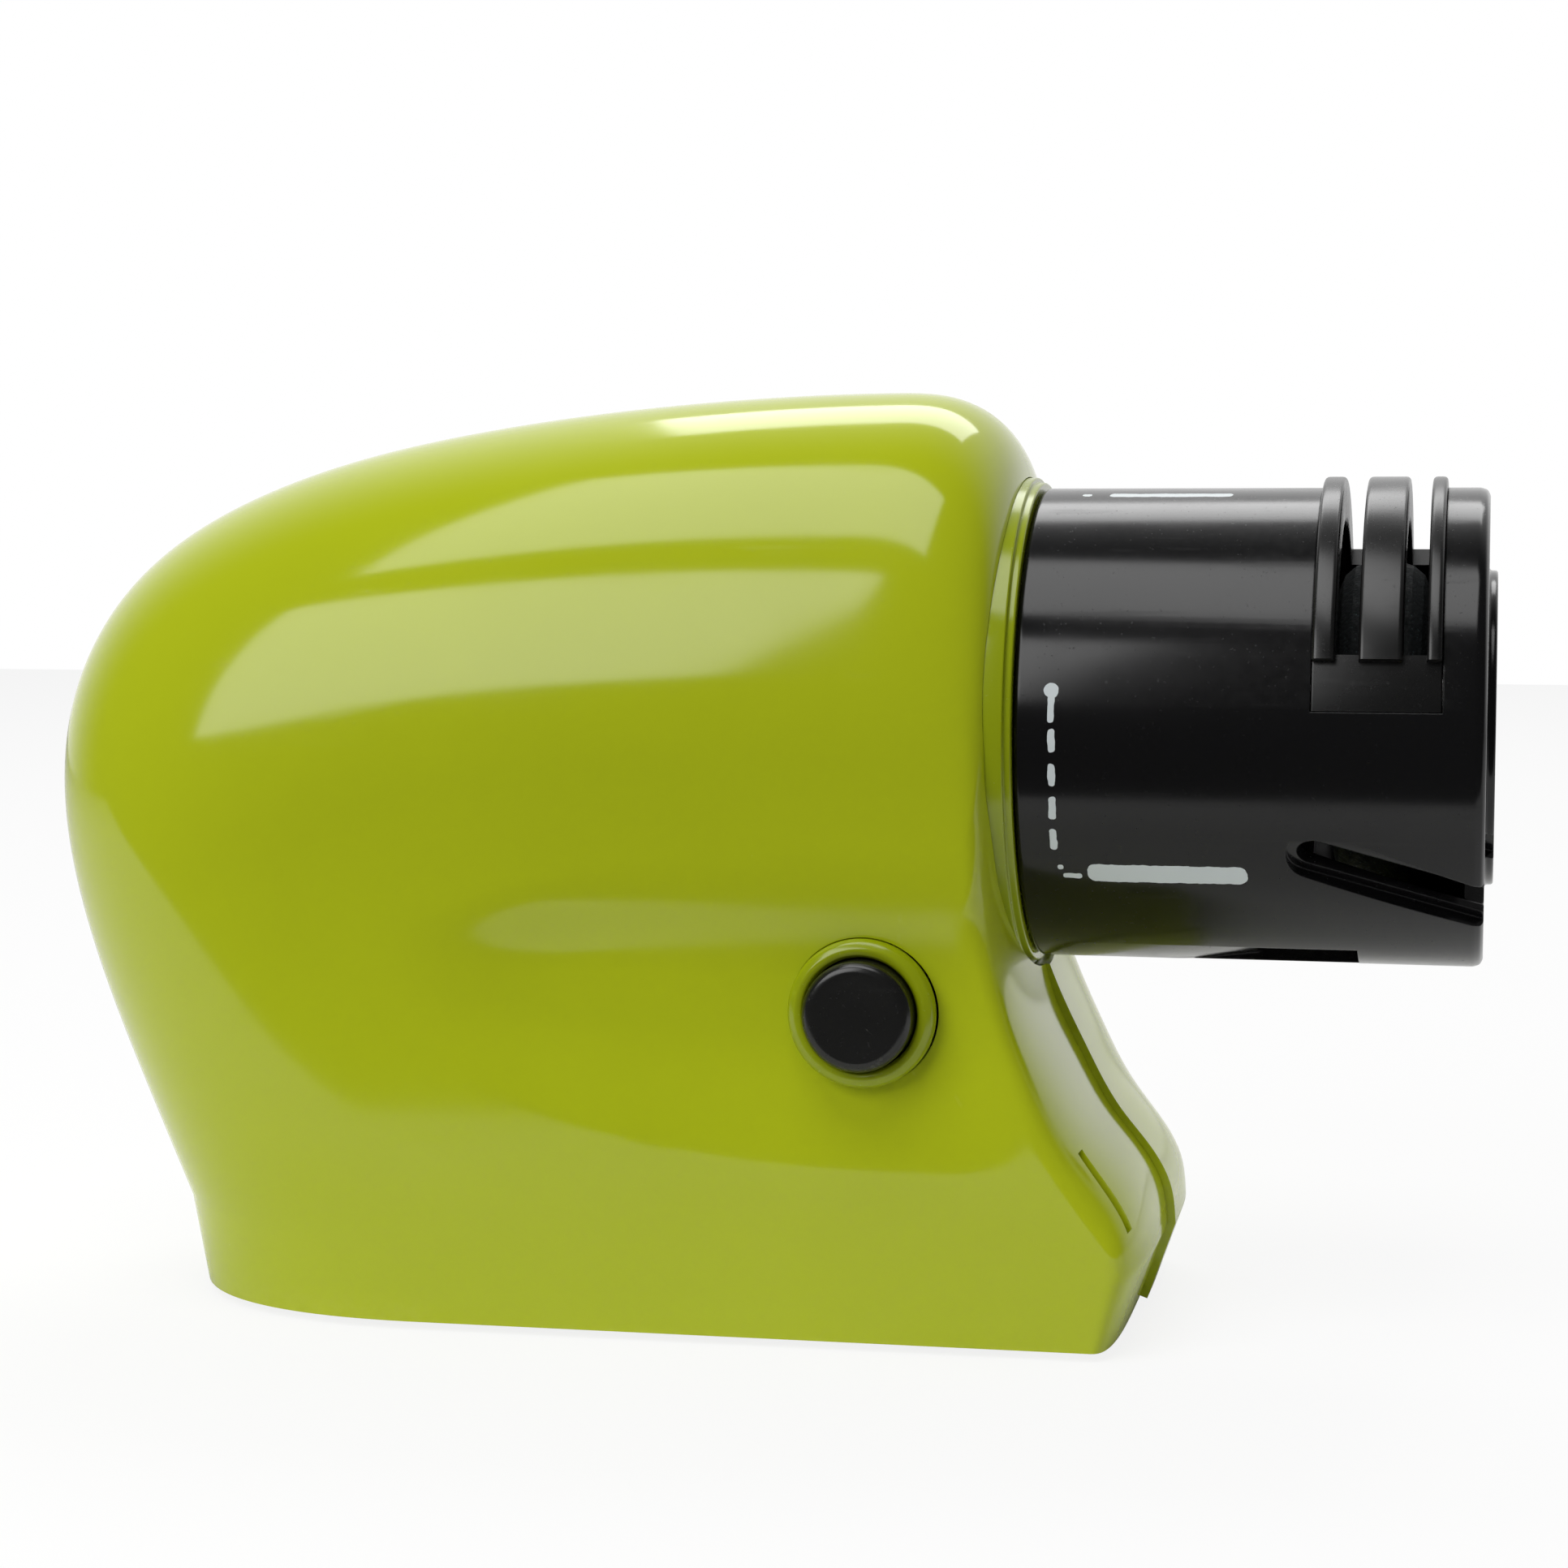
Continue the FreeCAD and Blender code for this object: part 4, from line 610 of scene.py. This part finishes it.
def bezel():
    """The green ring round the button, on a tube that reaches into the shell."""
    front, rear = BEZEL_SEAT + BEZEL_PROUD, BEZEL_SEAT - BEZEL_TUBE_DEPTH
    bore = BUTTON_RADIUS + 0.15
    outline = [
        (rear, bore), (front - 0.7, bore), (front - 0.1, bore + 0.35), (front, bore + 0.75),
        (front, BEZEL_RADIUS - 1.0), (front - 0.4, BEZEL_RADIUS - 0.3), (front - 1.0, BEZEL_RADIUS),
        (BEZEL_SEAT, BEZEL_RADIUS), (BEZEL_SEAT, BEZEL_TUBE_RADIUS), (rear, BEZEL_TUBE_RADIUS),
    ]
    return lathe("bezel", outline, radius=0.35, facing="-Y", place=(BUTTON_X, 0, BUTTON_Z))


def button():
    """The push button: a slightly dished cap with a flange behind the bezel's tube."""
    front = BEZEL_SEAT + BEZEL_PROUD + BUTTON_PROUD
    rear = BEZEL_SEAT - BEZEL_TUBE_DEPTH - BUTTON_FLANGE_BEHIND
    flange = rear + BUTTON_FLANGE_THICKNESS
    outline = [
        (rear, 0), (rear, BUTTON_FLANGE_RADIUS), (flange, BUTTON_FLANGE_RADIUS), (flange, BUTTON_RADIUS),
        (front - 0.8, BUTTON_RADIUS), (front - 0.2, BUTTON_RADIUS - 0.5), (front, BUTTON_RADIUS - 1.1),
        (front - 0.12, BUTTON_RADIUS - 2.5), (front - 0.25, BUTTON_RADIUS - 4.5), (front - 0.28, 0),
    ]
    return lathe("button", outline, closed=False, radius=0.3, facing="-Y", place=(BUTTON_X, 0, BUTTON_Z))


# Materials

def linear(red, green, blue):
    """The scene's colour for an 8-bit screen colour."""
    made = []
    for value in (red, green, blue):
        value /= 255
        made.append(value / 12.92 if value <= 0.04045 else ((value + 0.055) / 1.055) ** 2.4)
    return (*made, 1.0)


class Tree:
    """Short ways to add nodes to a material."""

    def __init__(self, name):
        self.material = bpy.data.materials.new(name)
        self.material.use_nodes = True
        self.nodes = self.material.node_tree.nodes
        self.links = self.material.node_tree.links
        self.shader = self.nodes["Principled BSDF"]
        self.place = self.add("ShaderNodeTexCoord").outputs["Object"]

    def add(self, kind, inputs=None, **settings):
        node = self.nodes.new(kind)
        for key, value in settings.items():
            setattr(node, key, value)
        for key, value in (inputs or {}).items():
            self.join(value, node.inputs[key])
        return node

    def join(self, value, socket):
        if isinstance(value, bpy.types.NodeSocket):
            self.links.new(value, socket)
        else:
            socket.default_value = value

    def math(self, operation, one, two=0.0, three=0.0):
        node = self.add("ShaderNodeMath", operation=operation)
        for value, socket in zip((one, two, three), node.inputs):
            self.join(value, socket)
        return node.outputs[0]

    def noise(self, scale, detail=3.0, roughness=0.5, stretch=None):
        place = self.place
        if stretch:
            place = self.add("ShaderNodeMapping", {"Vector": place, "Scale": stretch}).outputs[0]
        inputs = {"Vector": place, "Scale": scale, "Detail": detail, "Roughness": roughness}
        return self.add("ShaderNodeTexNoise", inputs).outputs["Fac"]

    def spread(self, value, low, high, to_low, to_high):
        inputs = {"Value": value, "From Min": low, "From Max": high, "To Min": to_low, "To Max": to_high}
        return self.add("ShaderNodeMapRange", inputs).outputs[0]

    def mix(self, share, one, two):
        node = self.add("ShaderNodeMix", data_type="RGBA")
        self.join(share, node.inputs[0])
        self.join(one, node.inputs[6])
        self.join(two, node.inputs[7])
        return node.outputs[2]

    def bump(self, height, strength, distance, normal=None):
        inputs = {"Height": height, "Strength": strength, "Distance": distance}
        if normal is not None:
            inputs["Normal"] = normal
        return self.add("ShaderNodeBump", inputs).outputs[0]

    def wear(self, low=0.52, high=0.6):
        """Up to 1 on worn edges, broken up by noise."""
        point = self.add("ShaderNodeNewGeometry").outputs["Pointiness"]
        edge = self.spread(point, low, high, 0.0, 1.0)
        return self.math("MULTIPLY", edge, self.spread(self.noise(900.0), 0.35, 0.65, 0.2, 1.0))


def finish_surface(tree, colour, roughness, wear_colour, variation=0.05, grain=0.15, wear_amount=0.5,
                   worn_roughness=0.15, bevel=0.0):
    """Colour drift, uneven gloss, fine grain, dust specks and worn edges on one shader."""
    drift = tree.spread(tree.noise(22.0, 4.0), 0.3, 0.7, 1.0 - variation, 1.0 + variation)
    tint = tree.add("ShaderNodeHueSaturation", {"Color": colour, "Value": drift}).outputs[0]
    worn = tree.math("MULTIPLY", tree.wear(), wear_amount)
    tree.join(tree.mix(worn, tint, wear_colour), tree.shader.inputs["Base Color"])
    gloss = tree.spread(tree.noise(70.0, 5.0), 0.3, 0.7, roughness * 0.85, roughness * 1.2)
    specks = tree.spread(tree.noise(2600.0, 1.0), 0.68, 0.76, 0.0, 0.12)
    scuffs = tree.spread(tree.noise(500.0, 2.0, stretch=(0.12, 1.0, 1.0)), 0.66, 0.74, 0.0, 0.06)
    rough = tree.math("ADD", tree.math("ADD", gloss, specks), scuffs)
    rough = tree.math("ADD", rough, tree.math("MULTIPLY", worn, worn_roughness))
    tree.join(rough, tree.shader.inputs["Roughness"])
    normal = None
    if bevel:
        normal = tree.add("ShaderNodeBevel", {"Radius": bevel * MM}, samples=4).outputs[0]
    waves = tree.bump(tree.noise(130.0, 2.0), grain * 0.35, 0.00008, normal)
    fine = tree.bump(tree.noise(2200.0, 2.0), grain, 0.00001, waves)
    tree.join(fine, tree.shader.inputs["Normal"])
    return tree.material


def plastic(name, colour, roughness, wear_colour, **options):
    tree = Tree(name)
    tree.shader.inputs["IOR"].default_value = 1.5
    return finish_surface(tree, colour, roughness, wear_colour, **options)


def metal(name, colour, roughness, **options):
    tree = Tree(name)
    tree.shader.inputs["Metallic"].default_value = 1.0
    bright = tuple(min(1.0, c * 1.25) for c in colour[:3]) + (1.0,)
    return finish_surface(tree, colour, roughness, bright, **options)


def print_mask(tree, marks):
    """1 on the printed marks: (x, degrees, half length along X, half height, corner radius), sizes in mm."""
    parts = tree.add("ShaderNodeSeparateXYZ", {"Vector": tree.place}).outputs
    up = tree.math("SUBTRACT", parts["Z"], AXIS_HEIGHT * MM)
    angle = tree.math("ARCTAN2", tree.math("MULTIPLY", parts["Y"], -1.0), up)
    around = tree.math("MULTIPLY", angle, DRUM_RADIUS * MM)
    ragged = tree.math("MULTIPLY", tree.math("SUBTRACT", tree.noise(700.0, 3.0), 0.5), 0.45 * MM)
    mask = 0.0
    for x, degrees, half_long, half_high, corner in marks:
        dx = tree.math("ABSOLUTE", tree.math("SUBTRACT", parts["X"], x * MM))
        dy = tree.math("ABSOLUTE", tree.math("SUBTRACT", around, math.radians(degrees) * DRUM_RADIUS * MM))
        dx = tree.math("MAXIMUM", tree.math("SUBTRACT", dx, (half_long - corner) * MM), 0.0)
        dy = tree.math("MAXIMUM", tree.math("SUBTRACT", dy, (half_high - corner) * MM), 0.0)
        far = tree.math("SQRT", tree.math("ADD", tree.math("POWER", dx, 2.0), tree.math("POWER", dy, 2.0)))
        inside = tree.math("LESS_THAN", tree.math("ADD", far, ragged), corner * MM)
        mask = tree.math("MAXIMUM", inside, mask)
    return mask


def drum_plastic():
    """Glossy black with two plain printed bars, a dot and a dashed pointer line."""
    tree = Tree("drum_black")
    tree.shader.inputs["IOR"].default_value = 1.42
    finish_surface(tree, linear(14, 14, 15), 0.16, linear(48, 48, 48), variation=0.1, grain=0.1,
                   wear_amount=0.25, bevel=0.25)
    marks = [(41.6, 14.5, 0.55, 0.55, 0.5), (51.5, 14.5, 7.2, 0.75, 0.6),
             (40.2, 79.3, 0.85, 0.85, 0.8), (40.2, 83.3, 0.4, 1.7, 0.35)]
    marks += [(40.3, 90.8 + 8.0 * i, 0.4, 1.35, 0.35) for i in range(4)]
    marks += [(40.9, 122.5, 0.35, 0.35, 0.3), (42.2, 125.0, 1.1, 0.35, 0.3), (53.0, 124.0, 9.1, 1.25, 1.0)]
    mask = print_mask(tree, marks)
    base = tree.shader.inputs["Base Color"]
    tree.join(tree.mix(mask, base.links[0].from_socket, linear(214, 222, 224)), base)
    rough = tree.shader.inputs["Roughness"]
    tree.join(tree.math("MAXIMUM", rough.links[0].from_socket, tree.math("MULTIPLY", mask, 0.42)), rough)
    return tree.material


def stone():
    """Bonded grit: dark, with pale and blue-green grains standing out of it."""
    tree = Tree("grit_stone")
    grains = tree.add("ShaderNodeTexVoronoi", {"Vector": tree.place, "Scale": 2600.0})
    pale = tree.spread(grains.outputs["Distance"], 0.15, 0.4, 1.0, 0.0)
    chance = tree.spread(tree.noise(1500.0, 2.0), 0.5, 0.68, 0.0, 0.7)
    colour = tree.mix(tree.math("MULTIPLY", pale, chance), linear(34, 39, 40), linear(112, 132, 134))
    tree.join(colour, tree.shader.inputs["Base Color"])
    tree.join(tree.spread(tree.noise(800.0), 0.3, 0.7, 0.6, 0.95), tree.shader.inputs["Roughness"])
    tree.join(tree.bump(grains.outputs["Distance"], 0.6, 0.00015), tree.shader.inputs["Normal"])
    return tree.material


def cell_jacket():
    """A steel jacket with a dark band and a lighter band, without words."""
    tree = Tree("cell_jacket")
    parts = tree.add("ShaderNodeSeparateXYZ", {"Vector": tree.place}).outputs
    light = tree.math("GREATER_THAN", parts["X"], -0.022)
    colour = tree.mix(light, linear(40, 48, 60), linear(176, 128, 66))
    tree.shader.inputs["Metallic"].default_value = 0.6
    return finish_surface(tree, colour, 0.3, linear(190, 190, 190), wear_amount=0.4)


GREEN = linear(182, 195, 24)
SURFACES = {
    "green_plastic": plastic("green_gloss", GREEN, 0.10, linear(196, 206, 60), variation=0.03, grain=0.05,
                             wear_amount=0.35),
    "green_plastic_base": plastic("green_satin", linear(168, 180, 26), 0.28, linear(190, 200, 60)),
    # Darker than the body's green: painted shade for the collar, set back between the body and the drum. The
    # bezel shares this finish and so is darkened too.
    "green_plastic_collar": plastic("green_collar_painted_shade", linear(150, 164, 12), 0.16, linear(168, 180, 34),
                                    variation=0.04, grain=0.06, wear_amount=0.3),
    "gloss_black": drum_plastic(),
    "guide_black": plastic("guide_black", linear(13, 13, 13), 0.26, linear(52, 51, 50), variation=0.08,
                           grain=0.1, wear_amount=0.3),
    "button_black": plastic("button_black", linear(22, 22, 21), 0.22, linear(60, 60, 57), grain=0.2),
    "white_plastic": plastic("white_plastic", linear(225, 225, 220), 0.4, linear(240, 240, 236)),
    "stone": stone(),
    "steel": metal("steel", linear(190, 190, 188), 0.25),
    "motor_steel": metal("motor_steel", linear(165, 166, 168), 0.32),
    "iron": metal("iron", linear(92, 92, 94), 0.45),
    "copper": metal("copper", linear(196, 112, 66), 0.3),
    "brass": metal("brass", linear(204, 168, 96), 0.28),
    "magnet": plastic("magnet", linear(52, 52, 54), 0.55, linear(90, 90, 90)),
    "cell_jacket": cell_jacket(),
    "rubber": plastic("rubber", linear(30, 30, 30), 0.75, linear(60, 60, 60), grain=0.5),
    "wire_red": plastic("wire_red", linear(170, 24, 22), 0.4, linear(190, 60, 50)),
    "wire_black": plastic("wire_black", linear(26, 26, 26), 0.4, linear(60, 60, 60)),
}
SLOT_OF = {entry["node"]: entry["material_slot"] for entry in frame["record"]["subparts"]}


def dress(piece, slot):
    piece.data.materials.clear()
    piece.data.materials.append(SURFACES[slot])


def stand_for(piece, node, body):
    """The piece rides on a body in place of one CAD node and takes that node's finish."""
    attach(piece, body)
    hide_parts(node)
    dress(piece, SLOT_OF[node])


for cad_name, cad_piece in frame["nodes"].items():
    dress(cad_piece, SLOT_OF[cad_name])

stand_for(shell("near_half", -1), "shell_near", "housing")
stand_for(shell("far_half", 1), "shell_far", "housing")
stand_for(drum(), "selector_drum", "selector")
stand_for(drum_cap(), "drum_cap", "selector")
stand_for(guide(), "knife_guide", "selector")
stand_for(collar(), "collar_ring", "housing")
stand_for(bezel(), "button_bezel", "housing")
stand_for(button(), "button_cap", "button")


# Floor, light and camera

def floor():
    """A white table top, in metres, whose near edge lies below the view. The camera sees it paler."""
    near, far, half = -0.125, 1.6, 1.4
    below_feet = 0.0002
    camera_share = 0.85
    mesh = bpy.data.meshes.new("floor")
    corners = [(-half, near, 0), (half, near, 0), (half, far, 0), (-half, far, 0)]
    mesh.from_pydata(corners, [], [(0, 1, 2, 3)])
    piece = bpy.data.objects.new("floor", mesh)
    piece.location.z = -below_feet
    bpy.context.collection.objects.link(piece)
    surface = bpy.data.materials.new("floor")
    surface.use_nodes = True
    nodes, links = surface.node_tree.nodes, surface.node_tree.links
    shader = nodes["Principled BSDF"]
    shader.inputs["Base Color"].default_value = (0.9, 0.9, 0.9, 1)
    shader.inputs["Roughness"].default_value = 0.9
    shader.inputs["Specular IOR Level"].default_value = 0.1
    white = nodes.new("ShaderNodeEmission")
    path = nodes.new("ShaderNodeLightPath")
    share = nodes.new("ShaderNodeMath")
    share.operation = "MULTIPLY"
    share.inputs[1].default_value = camera_share
    mix = nodes.new("ShaderNodeMixShader")
    links.new(path.outputs["Is Camera Ray"], share.inputs[0])
    links.new(share.outputs[0], mix.inputs[0])
    links.new(shader.outputs[0], mix.inputs[1])
    links.new(white.outputs[0], mix.inputs[2])
    links.new(mix.outputs[0], nodes["Material Output"].inputs["Surface"])
    mesh.materials.append(surface)


def direction(azimuth, elevation):
    """The way out from the object at two angles. Azimuth 0 is the near side and 90 the head's end."""
    azimuth, elevation = math.radians(azimuth), math.radians(elevation)
    level = math.cos(elevation)
    return Vector((math.sin(azimuth) * level, -math.cos(azimuth) * level, math.sin(elevation)))


def softbox(name, azimuth, elevation, distance, width, height, strength):
    """A soft rectangular light, in metres. A strength of 1 is as bright as white."""
    away = direction(azimuth, elevation)
    data = bpy.data.lights.new(name, "AREA")
    data.shape = "RECTANGLE"
    data.size, data.size_y = width, height
    data.energy = strength * math.pi * width * height
    light = bpy.data.objects.new(name, data)
    light.location = Vector((0, 0, LIGHTS_TARGET_HEIGHT * MM)) + away * distance
    light.rotation_mode = "QUATERNION"
    light.rotation_quaternion = away.to_track_quat("Z", "Y")
    bpy.context.collection.objects.link(light)


def studio():
    """A white backdrop for the camera, a room pale behind the object and dark before it, and lights."""
    world = bpy.data.worlds.new("studio")
    bpy.context.scene.world = world
    world.use_nodes = True
    nodes, links = world.node_tree.nodes, world.node_tree.links
    nodes.clear()
    output = nodes.new("ShaderNodeOutputWorld")
    room = nodes.new("ShaderNodeBackground")
    backdrop = nodes.new("ShaderNodeBackground")
    backdrop.inputs["Color"].default_value = (1, 1, 1, 1)
    backdrop.inputs["Strength"].default_value = 1.0
    path = nodes.new("ShaderNodeLightPath")
    mix = nodes.new("ShaderNodeMixShader")
    place = nodes.new("ShaderNodeTexCoord")
    parts = nodes.new("ShaderNodeSeparateXYZ")
    reach = nodes.new("ShaderNodeMapRange")
    reach.interpolation_type = "SMOOTHSTEP"
    links.new(place.outputs["Generated"], parts.inputs[0])
    links.new(parts.outputs["Y"], reach.inputs["Value"])
    for name, value in (("From Min", 0.0), ("From Max", 0.75), ("To Min", 0.08), ("To Max", 1.0)):
        reach.inputs[name].default_value = value
    room.inputs["Color"].default_value = (1, 1, 1, 1)
    links.new(reach.outputs[0], room.inputs["Strength"])
    links.new(path.outputs["Is Camera Ray"], mix.inputs[0])
    links.new(room.outputs[0], mix.inputs[1])
    links.new(backdrop.outputs[0], mix.inputs[2])
    links.new(mix.outputs[0], output.inputs["Surface"])
    softbox("front", -29.0, 29.0, 0.7, 0.46, 0.38, 3.8)
    softbox("over", -20.0, 70.0, 1.3, 1.0, 0.70, 3.6)
    softbox("behind", 180.0, 52.0, 1.4, 0.9, 0.5, 4.0)


def camera():
    """The photograph's view: the near side, from slightly towards the head and above."""
    target = Vector(CAMERA_TARGET) * MM
    back = direction(CAMERA_AZIMUTH, CAMERA_ELEVATION)
    data = bpy.data.cameras.new("camera")
    data.sensor_width = 36.0
    data.lens = CAMERA_LENS
    data.clip_start, data.clip_end = 0.01, 50.0
    view = bpy.data.objects.new("camera", data)
    view.location = target + back * (CAMERA_DISTANCE * MM)
    view.rotation_mode = "QUATERNION"
    view.rotation_quaternion = (-back).to_track_quat("-Z", "Y")
    bpy.context.collection.objects.link(view)
    bpy.context.scene.camera = view


floor()
studio()
camera()
bpy.context.scene.view_settings.view_transform = "Standard"
